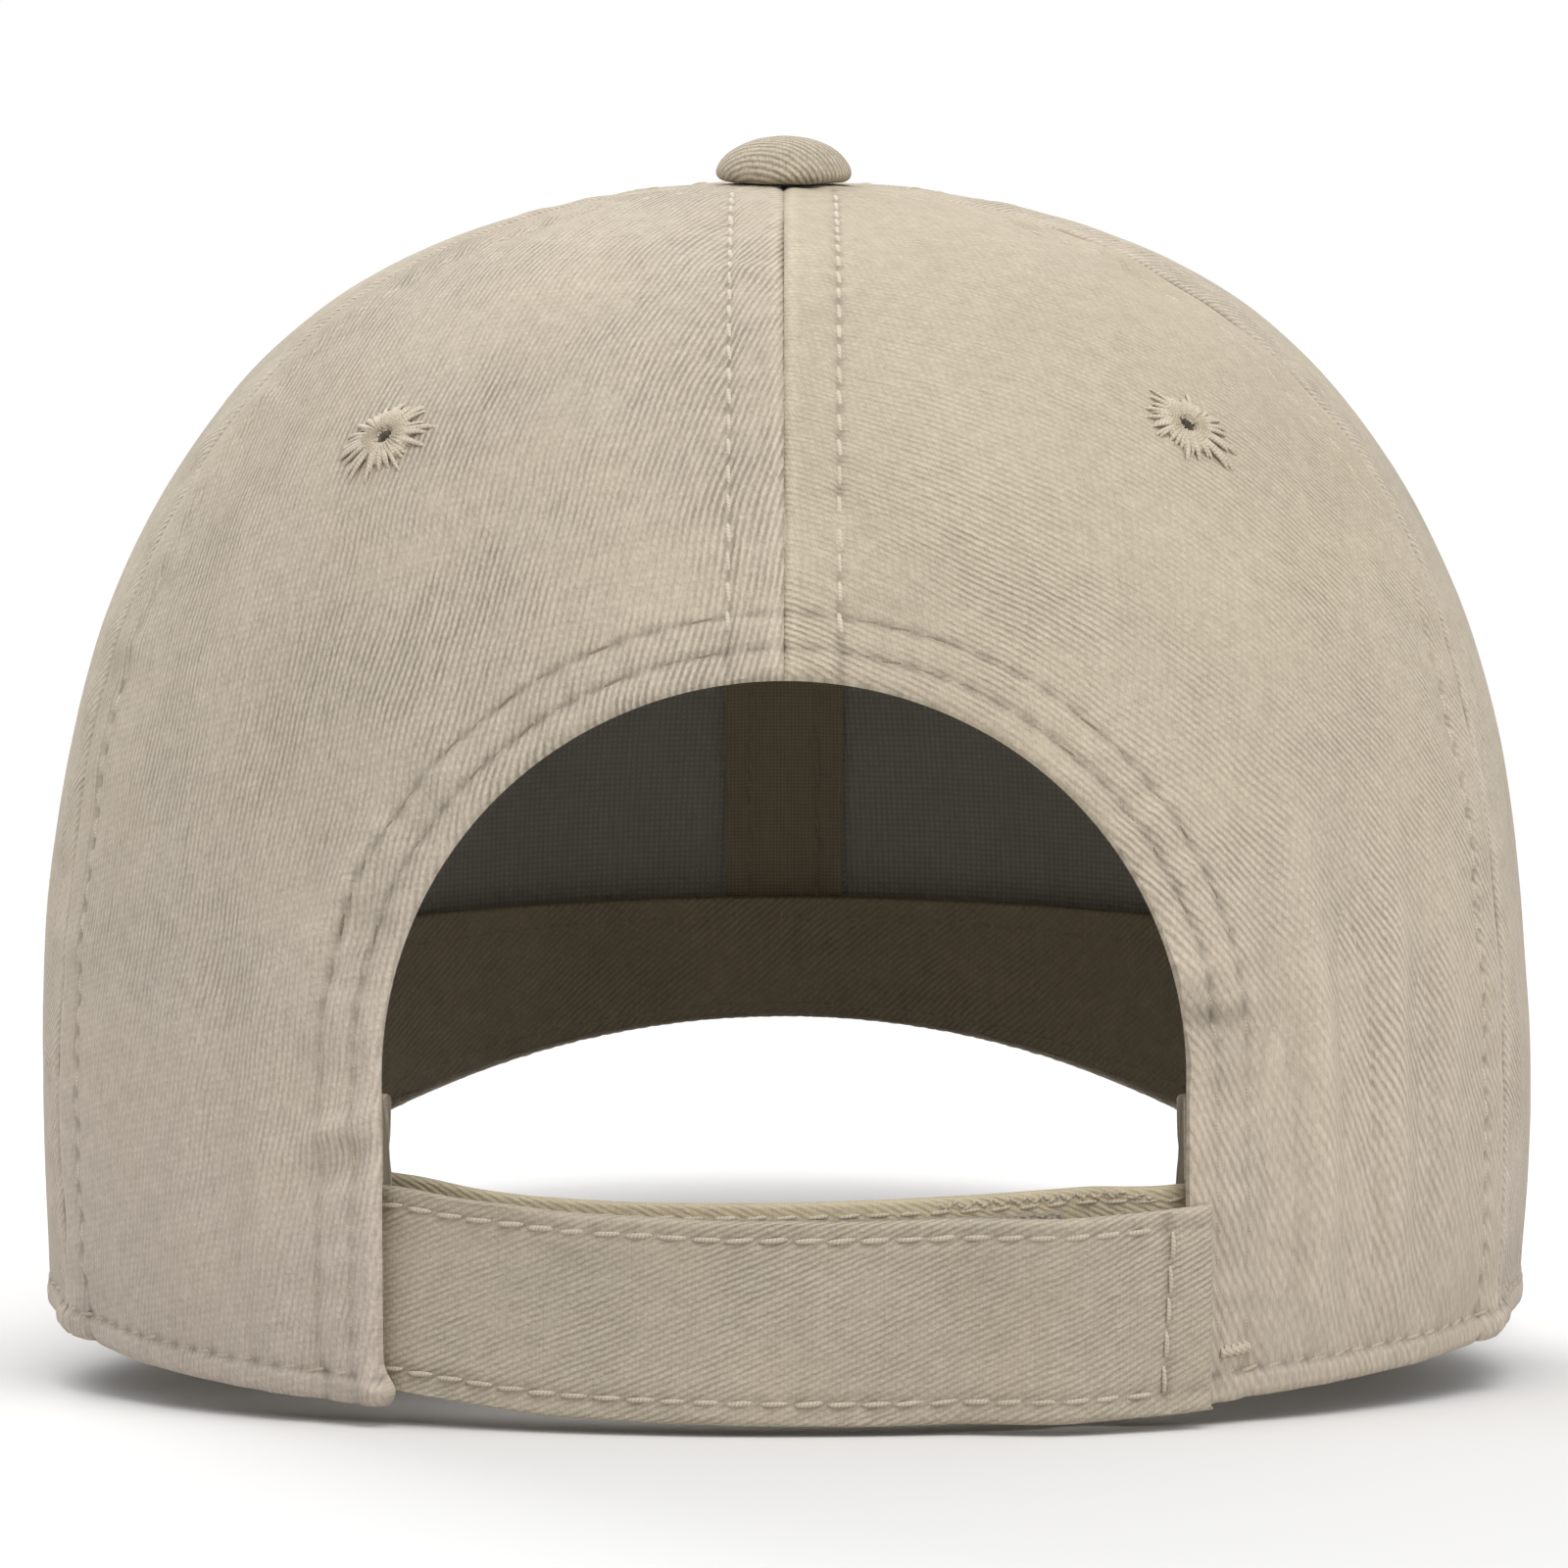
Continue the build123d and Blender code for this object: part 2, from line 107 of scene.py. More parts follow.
def path_splines(points):
    """Splines of both coordinates of a polyline over its length, and the length at its points."""
    t = np.r_[0, np.cumsum(np.hypot(*np.diff(points, axis=0).T))]
    return natural_spline(t, points[:, 0]), natural_spline(t, points[:, 1]), t


_radius, _height, _stations = path_splines(PROFILE)
S_END = float(_stations[-1])
PATH_S = np.arange(0, S_END + 0.05, 0.1)
PATH_R, PATH_Z = _radius(PATH_S), _height(PATH_S)
SLOPE_R, SLOPE_Z = np.gradient(PATH_R, PATH_S), np.gradient(PATH_Z, PATH_S)

# arc length round the crown at unit radius, as a function of the angle from the rear
THETA = np.radians(np.arange(0, 180.01, 0.05))
_speed = np.where(THETA <= math.pi / 2, 1.0, np.hypot(np.cos(THETA), FRONT_STRETCH * np.sin(THETA)))
ARC = np.r_[0, np.cumsum((_speed[1:] + _speed[:-1]) / 2 * np.diff(THETA))]


def ring(s, depth=0.0):
    """Radius and height of the crown at path length s."""
    return (
        np.interp(s, PATH_S, PATH_R) * (CROWN_R - depth) / CROWN_R,
        np.interp(s, PATH_S, PATH_Z) * (CROWN_H - depth) / CROWN_H,
    )


def s_at_z(z, depth=0.0):
    return np.interp(np.asarray(z, float) * CROWN_H / (CROWN_H - depth), PATH_Z, PATH_S)


def arc_at(theta):
    return np.interp(theta, THETA, ARC)


def arc_of(degrees):
    return float(arc_at(math.radians(degrees)))


def theta_of(a):
    return np.interp(a, ARC, THETA)


A_SIDE, A_FRONT, A_END = arc_of(71), arc_of(123), float(ARC[-1])
SEAMS = (0.0, A_SIDE, A_FRONT, A_END)  # rear centre, rear to side, side to front, front centre
S_OPENING = float(s_at_z(OPENING_Z + OPENING_R))


def stretch(theta):
    return np.where(theta <= math.pi / 2 + 1e-9, 1.0, FRONT_STRETCH)


def crown(side, a, s, depth=0.0):
    """Points of the plain crown."""
    theta = theta_of(a)
    r, z = ring(s, depth)
    return np.stack(
        [side * r * np.sin(theta), AXIS_Y + stretch(theta) * r * np.cos(theta), z], -1)


def crown_normal(side, a, s):
    """Outward unit normals of the plain crown."""
    theta = theta_of(a)
    sin, cos, k = np.sin(theta), np.cos(theta), stretch(theta)
    r = np.interp(s, PATH_S, PATH_R)
    dr, dz = np.interp(s, PATH_S, SLOPE_R), np.interp(s, PATH_S, SLOPE_Z)
    upward = np.stack([side * dr * sin, k * dr * cos, dz], -1)
    around = np.stack([side * r * cos, -k * r * sin, np.zeros_like(r * theta)], -1)
    normal = np.cross(around, upward)
    normal /= np.linalg.norm(normal, axis=-1, keepdims=True)
    outward = np.stack([side * sin, cos, np.full_like(theta * r, 0.3)], -1)
    return normal * np.where((normal * outward).sum(-1, keepdims=True) < 0, -1, 1)


def visor_top(x, y, radius=VISOR_R):
    """Height of a layer of the visor; its top by default."""
    rise = np.sqrt(np.maximum(radius * radius - x * x, 0))
    tilt = (y - VISOR_AXIS_Y) * math.sin(VISOR_TILT)
    return VISOR_AXIS_Z + (rise + tilt) / math.cos(VISOR_TILT)


def above_visor(x, y, z, gap=0.0, elsewhere=9.0):
    """Height over the visor's top in the part of the cap that meets it."""
    return np.where(y < -10, z - visor_top(x, y) - gap, elsewhere)


def off_opening(x, z):
    """Distance outside the rear opening, measured in its own upright plane."""
    # the folded corner at the foot of the left edge stands a little into the opening
    foot = np.where(x > 0, 1.35 * np.exp(-((z - 1.5) / 1.9) ** 2), 0.0)
    arch = np.hypot(x, z - OPENING_Z) - OPENING_R
    return np.where(z > OPENING_Z, arch, np.abs(x) - OPENING_R + foot)


def round_opening(x, z):
    """Length along the edge of the rear opening, up from the hem."""
    bend = np.arctan2(z - OPENING_Z, np.abs(x)) * 46.0 + OPENING_Z
    return np.where(z > OPENING_Z, bend, z)


# ------------------------------------------------------------------ worn and sewn relief
class Noise:
    """Smooth repeatable lattice noise in two coordinates, about -1 to 1."""

    def __init__(self, seed):
        self.lattice = np.random.default_rng(seed).uniform(-1, 1, (128, 128))

    def __call__(self, x, y):
        x, y = np.broadcast_arrays(np.asarray(x, float), np.asarray(y, float))
        xi, yi = np.floor(x).astype(int), np.floor(y).astype(int)
        fx, fy = (f * f * f * (f * (f * 6 - 15) + 10) for f in (x - xi, y - yi))
        x0, x1, y0, y1 = xi % 128, (xi + 1) % 128, yi % 128, (yi + 1) % 128
        g = self.lattice
        low = g[x0, y0] * (1 - fx) + g[x1, y0] * fx
        return low * (1 - fy) + (g[x0, y1] * (1 - fx) + g[x1, y1] * fx) * fy


SWELL, RIPPLE, WAVER, PUCKER, CREPE = (Noise(seed) for seed in (3, 17, 29, 41, 59))


def bump(x, width):
    return np.exp(-((x / width) ** 2))


def ease(x):
    """Smooth step from 0 to 1."""
    x = np.clip(x, 0, 1)
    return x * x * (3 - 2 * x)


def dimples(along, pitch=STITCH_PITCH):
    """1 in the middle of each stitch, 0 between stitches."""
    return 0.5 + 0.5 * np.cos(2 * math.pi * along / pitch)


class Spot:
    """Places on the plain crown with their distances to the edges."""

    def __init__(self, side, a, s):
        self.side, self.a, self.s = side, a, s
        theta = theta_of(a)
        self.r, self.z = ring(s)
        self.x = side * self.r * np.sin(theta)
        y = AXIS_Y + stretch(theta) * self.r * np.cos(theta)
        self.rear = theta < math.pi / 2
        self.round = a * CROWN_R  # mm round the crown at its widest
        self.top_fade = ease((self.r - 9) / 22)
        self.opening = np.where(self.rear, off_opening(self.x, self.z), 99.0)
        over = np.where(self.z < 60, above_visor(self.x, y, self.z, elsewhere=99.0), 99.0)
        self.hem = np.minimum(s, np.maximum(over, 0))
        self.low = ease((66 - self.z) / 40) * ease((self.z + 6) / 22)


# Each relief function returns the height it adds to the surface and its shading: positive
# shade lightens the cloth, negative darkens it.
def seam_relief(spot):
    """Padded seam allowances, puckers and the dimpled stitch rows of the four seams."""
    side, s, fade = spot.side, spot.s, spot.top_fade
    dimple = dimples(s)
    height = shade = 0.0
    for i, seam in enumerate(SEAMS):
        across = (spot.a - seam) * spot.r
        away, hand = np.abs(across), np.sign(across)
        from_row = away - SEAM_ROW
        pad = 0.30 if i else (0.42 if side > 0 else 0.20)
        wave = WAVER(s / 3.4 + 11 * i, 7.3 * i + side * 3.1 + hand * 1.7)
        pucker = PUCKER(s / 6.5 + 9 * i, side * 5.0 + i * 3.0 + hand * 2.2)
        # the rows between rear and side panels fade over the shoulder of the crown
        fading = ease((s - 62) / 34) * (i == 1)
        height += pad * (1 - ease((away - 4.6) / 2.6)) * fade
        height += 0.26 * (wave + pucker) * np.exp(-((away - 5.2) / 4.2) ** 2) * fade
        height += 0.10 * pucker * np.exp(-away / 9) * fade
        height -= 0.20 * bump(away, 0.30) + 0.16 * bump(away, 0.9)
        height -= (0.20 + 0.26 * dimple) * bump(from_row, 0.6) * fade * (1.0 - 0.85 * fading)
        # painted shade: a dark line in the seam groove and darker stitch holes along the rows; a
        # painted highlight on the raised edge beside the seam
        dark = (0.62 if i == 0 and side > 0 else 0.92) * (1.0 - 0.93 * fading)
        shade -= (0.42 + 0.35 * WAVER(s / 1.6, 3.0 + i)) * bump(away, 0.30)
        shade -= dark * bump(from_row, 0.46) * (0.16 + 0.84 * dimple)
        shade += 0.30 * bump(away - 0.95, 0.5)
    return height, shade


def opening_relief(spot):
    """Folded edge of the rear opening, held by two stitch rows."""
    side, edge = spot.side, spot.opening
    along = round_opening(spot.x, spot.z)
    dimple = dimples(along)
    inner_row, outer_row = (edge - row for row in OPENING_ROWS)
    # the rows are softer near the hem
    soft = 1.0 - (0.66 if side < 0 else 0.46) * ease((46 - spot.z) / 16)
    ripple = 0.32 * WAVER(along / 3.0, 4.4 + side) + 0.30 * PUCKER(along / 7, 2.0 + side)
    height = 0.32 * (1 - ease((edge - 5.6) / 2.4))
    height += ripple * np.exp(-((edge - 5.4) / 4.4) ** 2)
    rows = bump(inner_row, 0.6) + bump(outer_row, 0.65)
    height -= (0.20 + 0.20 * dimple) * rows * (0.4 + 0.6 * soft)
    height -= 0.55 * bump(np.maximum(edge, 0), 0.5)
    # painted shade along the two stitch rows, darker between stitches, and a painted highlight on
    # the folded edge
    shade = -(0.45 + 0.65 * dimple) * (bump(inner_row, 0.42) + bump(outer_row, 0.44)) * soft
    shade += 0.22 * bump(edge - 0.7, 0.6)
    return height, shade


def hem_relief(spot):
    """Folded hem, or the edge sewn to the visor, with its stitch row."""
    hem, along = spot.hem, spot.round
    dimple = dimples(along)
    ripple = 0.34 * WAVER(along / 3.0, 9.7) + 0.26 * PUCKER(along / 8, 8.1)
    height = 0.42 * (1 - ease((hem - 2.4) / 1.5))
    height += ripple * np.exp(-((hem - 3.5) / 3.8) ** 2)
    height -= (0.16 + 0.18 * dimple) * bump(hem - HEM_ROW, 0.6)
    height -= 0.5 * bump(hem, 0.5)
    # thick layers where the rear to side seam meets the hem
    height += 0.8 * bump((spot.a - A_SIDE) * CROWN_R, 5.0) * bump(hem - 1.5, 2.6)
    # painted shade along the stitch row, darker between stitches, and a painted highlight on the
    # folded hem edge
    shade = -(0.35 + 0.80 * dimple) * bump(hem - HEM_ROW, 0.42)
    shade += 0.22 * bump(hem - 0.7, 0.6)
    return height, shade


# upright folds on the right rear panel: mm round from the rear, half width, height
RIGHT_FOLDS = (
    (57.5, 2.6, -0.60), (63.3, 2.2, 1.25), (70.4, 3.2, -0.75),
    (78.2, 2.6, 1.10), (84.5, 3.4, -0.45), (91.0, 3.6, 0.40),
)


def right_folds(spot):
    """Upright folds and a level crease above the strap, on the right rear panel."""
    z, around = spot.z, spot.round
    height = shade = 0.0
    span = ease((70 - z) / 34) * ease((z + 2) / 22) * spot.rear
    for place, width, amount in RIGHT_FOLDS:
        path = place + 1.3 * np.sin(z / 17.0 + place) + 0.02 * (z - 30)
        fold = amount * bump(around - path, width) * span
        height += fold
        # painted light on the fold ridges and painted shade in the hollows between them
        shade += 0.27 * fold
    crease = z - 42.0 + (around - 46.0) * 0.10
    reach = ease((56.5 - around) / 8.0) * spot.rear
    groove = 0.45 * bump(crease + 5.0, 2.8) + 0.55 * bump(crease - 4.2, 2.6)
    height += (groove - 0.50 * bump(crease, 2.0)) * reach
    # painted shadow along the crease
    shade -= (0.85 * bump(crease - 0.2, 1.5) + 0.40 * bump(crease + 2.2, 3.0)) * reach
    return height, shade


def left_folds(spot):
    """A slanted ridge, a small tuck and soft upright folds on the left rear panel."""
    z, around, rear, low = spot.z, spot.round, spot.rear, spot.low
    ridge = bump((around - 52.0) * 0.75 + (z - 53) * 0.45, 2.2) * bump(z - 53, 9.0) * rear
    hollow = bump((around - 48.0) * 0.9 + (z - 54) * 0.35, 1.7) * bump(z - 54, 7.5) * rear
    slant, near = (around - 51.0) * 0.45, bump(around - 51.0, 6.0) * rear
    tuck = bump(z - 29.5 + slant, 1.7) * near
    height = 0.95 * ridge - 0.80 * hollow
    height += 0.85 * tuck - 0.60 * bump(z - 25.0 + slant, 2.0) * near
    height += 0.60 * bump(around - 60 - 0.05 * z, 3.2) * low * rear
    height -= 0.40 * bump(around - 66 - 0.05 * z, 3.6) * low * rear
    height += 0.50 * bump(around - 75 - 0.06 * z, 4.5) * low * rear
    # lump at the corner of opening and hem
    height += 0.9 * bump(spot.opening - 1.6, 1.6) * bump(spot.hem - 1.6, 1.8)
    # painted highlights on the slanted ridge and the tuck
    return height, 0.22 * ridge + 0.20 * tuck


def relief(side, a, s):
    """Height of the worn, sewn outer surface over the plain one, and its shading cue."""
    spot = Spot(side, a, s)
    u = side * spot.round
    # soft undulation of washed cloth, calmer toward the top
    height = 0.50 * SWELL(u / 34 + 5 * side, s / 46)
    height = height + 0.26 * RIPPLE(u / 15, s / 24 + 3 * side) + 0.07 * CREPE(u / 5.5 + 40, s / 8)
    height = height * (0.35 + 0.65 * spot.top_fade)
    shade = 0.0
    folds = right_folds if side < 0 else left_folds
    for part in (seam_relief, opening_relief, hem_relief, folds):
        part_height, part_shade = part(spot)
        height = height + part_height
        shade = shade + part_shade
    height = height + 0.20 * CREPE(u / 9, s / 30) * spot.low
    if side < 0:
        # the free end of the strap slides over this part, so it lies flat
        track = ease((26.5 - spot.z) / 3.0) * ease((63.5 - spot.round) / 3.5) * spot.rear
        height = height - track * np.maximum(height - 0.45, 0)
    return height, shade


def sewn_surface(side, a, s):
    """Points, plain normals and shading of the sewn outer surface."""
    a, s = np.broadcast_arrays(np.asarray(a, float), np.asarray(s, float))
    height, shade = relief(side, a, s)
    normal = crown_normal(side, a, s)
    return crown(side, a, s) + normal * height[..., None], normal, shade


# ------------------------------------------------------------------ meshes
def make_mesh(name, points, faces, material, cloth, shade=None, sharp=48):
    """An object from points in mm. cloth holds each point's place on the cloth, in mm."""
    mesh = bpy.data.meshes.new(name)
    points = np.asarray(points, float) * 0.001
    mesh.from_pydata(points.tolist(), [], faces)
    mesh.polygons.foreach_set("use_smooth", np.ones(len(mesh.polygons), bool))
    place = mesh.attributes.new("cl", "FLOAT_VECTOR", "POINT")
    place.data.foreach_set("vector", cloth.astype(np.float32).ravel())
    tone = mesh.attributes.new("shade", "FLOAT", "POINT")
    shade = np.zeros(len(points)) if shade is None else shade
    tone.data.foreach_set("value", shade.astype(np.float32))
    mesh.validate()
    mesh.update()
    if sharp:
        mesh.set_sharp_from_angle(angle=math.radians(sharp))
    ob = bpy.data.objects.new(name, mesh)
    bpy.context.scene.collection.objects.link(ob)
    mesh.materials.append(material)
    return ob


def fix_normals(ob, drop_loose=False):
    """Turns all faces outward, and can drop points that no face uses."""
    bm = bmesh.new()
    bm.from_mesh(ob.data)
    if drop_loose:
        bmesh.ops.delete(bm, geom=[v for v in bm.verts if not v.link_faces], context="VERTS")
    bmesh.ops.recalc_face_normals(bm, faces=bm.faces)
    bm.to_mesh(ob.data)
    bm.free()


def grid_faces(rows, cols, close_cols=False, close_rows=False):
    r, c = np.meshgrid(
        np.arange(rows if close_rows else rows - 1),
        np.arange(cols if close_cols else cols - 1), indexing="ij")
    r2, c2 = (r + 1) % rows, (c + 1) % cols
    corners = [r * cols + c, r * cols + c2, r2 * cols + c2, r2 * cols + c]
    return np.stack(corners, -1).reshape(-1, 4)


def close_sheet(n, faces):
    """Faces of a closed shell: the sheet, its copy n points on, reversed, and the rim between."""
    border = {}
    for face in faces:
        for p, q in zip(face, face[1:] + face[:1]):
            key = (min(p, q), max(p, q))
            border[key] = None if key in border else (p, q)
    edges = [edge for edge in border.values() if edge]
    rim = [[q, p, p + n, q + n] for p, q in edges]
    return faces + [[i + n for i in reversed(face)] for face in faces] + rim


def make_sheet(name, first, second, faces, material, cloth, **options):
    """A thin closed shell between two matching layers of points."""
    first, second, cloth = (part.reshape(-1, 3) for part in (first, second, cloth))
    return make_mesh(
        name, np.concatenate([first, second]), close_sheet(len(first), faces), material,
        np.concatenate([cloth, cloth]), **options)


def make_tube(name, points, material, cloth, shade):
    """A closed section (rows) swept along a path (columns), with flat ends."""
    rows, cols = points.shape[:2]
    count = rows * cols
    faces = grid_faces(rows, cols, close_rows=True).tolist()
    faces.append(list(range(0, count, cols)))
    faces.append(list(range(cols - 1, count, cols))[::-1])
    ob = make_mesh(
        name, points.reshape(-1, 3), faces, material, cloth.reshape(-1, 3), shade.ravel(), sharp=60)
    fix_normals(ob)
    return ob


def clip_grid(a, s, keep):
    """Cuts a grid of coordinates down to keep(a, s) >= 0, exactly on the zero line.

    Returns both coordinates of the points left, and the faces.
    """
    quads = grid_faces(*a.shape)
    inside = (keep(a, s) >= 0).ravel()
    a, s = a.ravel(), s.ravel()
    count = inside[quads].sum(1)
    full = quads[count == 4]
    crossings, polygons = {}, []
    for quad in quads[(count > 0) & (count < 4)].tolist():
        polygon = []
        for p, q in zip(quad, quad[1:] + quad[:1]):
            if inside[p]:
                polygon.append(p)
            if inside[p] != inside[q]:
                key = (min(p, q), max(p, q))
                polygon.append(crossings.setdefault(key, len(a) + len(crossings)))
        polygons.append(polygon)
    first, second = np.array(list(crossings)).T
    kept = np.where(inside[first], first, second)
    cut = np.where(inside[first], second, first)
    low, high = np.zeros(len(kept)), np.ones(len(kept))
    for _ in range(18):
        middle = (low + high) / 2
        value = keep(a[kept] + (a[cut] - a[kept]) * middle, s[kept] + (s[cut] - s[kept]) * middle)
        low, high = np.where(value >= 0, middle, low), np.where(value >= 0, high, middle)
    t = np.maximum(low, 0.04)
    a = np.r_[a, a[kept] + (a[cut] - a[kept]) * t]
    s = np.r_[s, s[kept] + (s[cut] - s[kept]) * t]
    used = np.zeros(len(a), bool)
    used[full.ravel()] = True
    for polygon in polygons:
        used[polygon] = True
    renumber = np.cumsum(used) - 1
    faces = renumber[full].tolist() + [renumber[polygon].tolist() for polygon in polygons]
    return a[used], s[used], faces


def stack_with(first, second, value):
    """Cloth coordinates from two arrays and one constant."""
    first, second = np.broadcast_arrays(first, second)
    return np.stack([first, second, np.full(first.shape, float(value))], -1)


def hand_over(ob, slot, *replaced, part="crown"):
    """Tells the frame which part the object rides and hides what it replaces; the slot argument is
    not used.
    """
    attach(ob, part)
    if replaced:
        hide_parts(*replaced)


# ------------------------------------------------------------------ shader building
class Signal:
    """A node output that makes math nodes when used in arithmetic."""

    def __init__(self, net, socket):
        self.net, self.socket = net, socket

    def __add__(self, other):
        return self.net.math("ADD", self, other)

    def __radd__(self, other):
        return self.net.math("ADD", other, self)

    def __sub__(self, other):
        return self.net.math("SUBTRACT", self, other)

    def __rsub__(self, other):
        return self.net.math("SUBTRACT", other, self)

    def __mul__(self, other):
        return self.net.math("MULTIPLY", self, other)

    def __truediv__(self, other):
        return self.net.math("DIVIDE", self, other)

    def __pow__(self, other):
        return self.net.math("POWER", self, other)


class Net:
    """Short ways to add nodes to a tree."""

    def __init__(self, tree):
        self.tree = tree

    def put(self, node, key, value):
        """Links a signal to an input, or sets the input's value."""
        target = node.inputs[key]
        if isinstance(value, Signal):
            self.tree.links.new(value.socket, target)
        else:
            target.default_value = (*value, 1) if target.type == "RGBA" else value

    def add(self, kind, inputs=None, **settings):
        node = self.tree.nodes.new("ShaderNode" + kind)
        for key, value in settings.items():
            setattr(node, key, value)
        for key, value in (inputs or {}).items():
            self.put(node, key, value)
        return node

    def out(self, kind, inputs=None, output=0, **settings):
        return Signal(self, self.add(kind, inputs, **settings).outputs[output])

    def math(self, operation, a, b=0.0):
        return self.out("Math", {0: a, 1: b}, operation=operation)

    def wave(self, x):
        """Cosine of x, moved to 0 to 1."""
        return self.math("COSINE", x) * 0.5 + 0.5

    def attribute(self, name, output="Vector"):
        return self.out("Attribute", output=output, attribute_name=name)

    def split(self, vector):
        return [Signal(self, out) for out in self.add("SeparateXYZ", {0: vector}).outputs]

    def noise(self, place, scale=1.0, detail=2.0, rough=0.5):
        """Noise at a vector, or at a tuple of three coordinates."""
        if isinstance(place, tuple):
            place = self.out("CombineXYZ", dict(enumerate(place)))
        inputs = {"Vector": place, "Scale": scale, "Detail": detail, "Roughness": rough}
        return self.out("TexNoise", inputs, output="Fac")

    def ramp(self, x, low, high, to_low=0.0, to_high=1.0):
        return self.out("MapRange", {
            "Value": x, "From Min": low, "From Max": high, "To Min": to_low, "To Max": to_high})

    def mix(self, factor, a, b):
        return self.out("Mix", {0: factor, 6: a, 7: b}, output=2, data_type="RGBA")

    def scale(self, color, factor):
        return self.out("VectorMath", {0: color, "Scale": factor}, operation="SCALE")

    def tint(self, color, factors):
        return self.out("VectorMath", {0: color, 1: factors}, operation="MULTIPLY")


class MaterialNet(Net):
    """The node tree of a new material, with a principled shader on its output."""

    INPUTS = {
        "roughness": "Roughness", "specular": "Specular IOR Level", "metallic": "Metallic",
        "sheen": "Sheen Weight", "sheen_roughness": "Sheen Roughness", "sheen_tint": "Sheen Tint",
        "color": "Base Color",
    }

    def __init__(self, name):
        self.material = bpy.data.materials.new(name)
        self.material.use_nodes = True
        super().__init__(self.material.node_tree)
        self.tree.nodes.clear()
        self.bsdf = self.add("BsdfPrincipled")
        self.shader = Signal(self, self.bsdf.outputs[0])
        self.output = self.add("OutputMaterial", {"Surface": self.shader})

    def look(self, **inputs):
        for key, value in inputs.items():
            self.put(self.bsdf, self.INPUTS[key], value)

    def emboss(self, height, depth, strength=1.0):
        """Bumps the surface by height; depth is in mm."""
        inputs = {"Strength": strength, "Distance": depth * 0.001, "Height": height}
        self.put(self.bsdf, "Normal", self.out("Bump", inputs))


# ------------------------------------------------------------------ materials
LIGHT, DARK = (0.785, 0.693, 0.556), (0.447, 0.382, 0.292)
WARP = 0.42  # yarn spacing, mm


def twill(name, angle, light=LIGHT, dark=DARK, wale=0.74, contrast=1.0, depth=0.17, wander=1.0,
          calm=0.0, wale_gain=1.0, bend=None, fade=None, worn=None, ash=False):
    """Cotton twill: slanted wales made of short floats, slubby yarns and a washed finish.

    wale is the spacing of the wales and depth their bump, in mm; calm evens them out.
    bend (height, slope) turns the wales above a height, fade (from, to) thins them out upward,
    worn (from, to, least) rubs them away toward the hem, and ash greys the lower cloth.
    """
    g = MaterialNet(name)
    u, v, w = g.split(g.attribute("cl"))
    cloth = (u, v, w)
    cos, sin = math.cos(math.radians(angle)), math.sin(math.radians(angle))
    # distance across the wales, wavering slowly and finely
    drift = (g.noise(cloth, scale=0.055, detail=1.0) - 0.5) * (2.6 * wander)
    across = v * cos + u * -sin
    if bend:
        rise = v - bend[0]
        curve = rise + g.math("SQRT", rise * rise + 400.0)
        across = across + curve * (0.5 * bend[1])
    across = across + drift
    across = across + (g.noise(cloth, scale=1.3, detail=3.0, rough=0.65) - 0.5) * 0.36
    along = u * cos + v * sin
    ridge = g.wave(across * (2 * math.pi / wale)) ** 0.75
    slip = g.math("FLOOR", across / wale + 0.5) * 0.37
    floats = g.wave((along / (WARP * 2.2) + slip) * (2 * math.pi))
    yarn = g.wave(u * (2 * math.pi / WARP))
    fray = g.noise((along / 3.2, across / 0.40, w), scale=1.0, detail=3.0, rough=0.65)
    # patches where the wales show
    patch = g.ramp(g.noise(cloth, scale=0.06, detail=3.0, rough=0.6), 0.36, 0.62)
    if fade:
        patch = patch * g.ramp(v, fade[0], fade[1], 1.0, 0.0)
    if worn:
        ragged = v + (g.noise(cloth, scale=0.05) - 0.5) * 60.0
        patch = patch * g.ramp(ragged, worn[0], worn[1], worn[2], 1.0)
    broken = g.noise((along / 2.0, across, w), scale=0.55, rough=0.6)
    level = (patch * (0.72 - 0.3 * calm) + (0.20 + 0.2 * calm)) * wale_gain
    level = level * g.ramp(broken, 0.25, 0.75, 0.72, 1.28)
    ridge = (ridge - 0.62) * level + 0.58
    # thread relief
    mottle = g.noise(cloth, scale=0.45, detail=3.0, rough=0.65)
    grain = g.noise(cloth, scale=1.9, detail=3.0, rough=0.75)
    height = ridge * (floats * 0.25 + 0.75)
    height = height + yarn * 0.10 + fray * 0.95 + mottle * 0.30 + grain * 0.95
    tone = (g.ramp(height, 0.92, 2.05) - 0.5) * contrast + 0.5
    color = g.mix(tone, dark, light)
    # warm patches
    warm = g.noise((u, v, w + 50.0), scale=0.05)
    warmed = g.scale(g.mix(0.5, color, (0.76, 0.63, 0.45)), 1.0)
    color = g.mix(g.ramp(warm, 0.42, 0.70, 0.0, 0.35), color, warmed)
    # brightness: clouds, mottling, slubs, pale specks and the mesh's own shading
    cloud = g.noise(cloth, scale=0.035, detail=3.0, rough=0.55)
    slub = g.noise((u / 0.5, v / 9.0, w), scale=1.0, rough=0.55)
    speck = g.noise(cloth, scale=3.2, rough=0.7)
    bright = 1.0 + (cloud - 0.5) * 0.22
    bright = bright + (mottle - 0.5) * 0.17 + (slub - 0.5) * 0.12
    bright = bright + g.ramp(speck, 0.66, 0.80) * 0.10
    # painted shade and highlights from the mesh's shade attribute
    bright = bright + g.attribute("shade", "Fac") * 0.36
    color = g.scale(color, bright)
    if ash:
        # the cloth is greyer toward the hem and a little deeper over the shoulder of the crown
        grey = g.tint(color, (1.0, 0.998, 1.075))
        color = g.mix(g.ramp(v, 18.0, 96.0, 1.0, 0.0), color, grey)
        deep = g.tint(color, (0.93, 0.93, 0.935))
        color = g.mix(g.ramp(v, 62.0, 100.0, 0.0, 1.0), color, deep)
    g.look(color=color, roughness=0.92, specular=0.18, sheen=0.22, sheen_roughness=0.55,
           sheen_tint=(0.95, 0.9, 0.8))
    g.emboss(height, depth=depth)
    return g.material


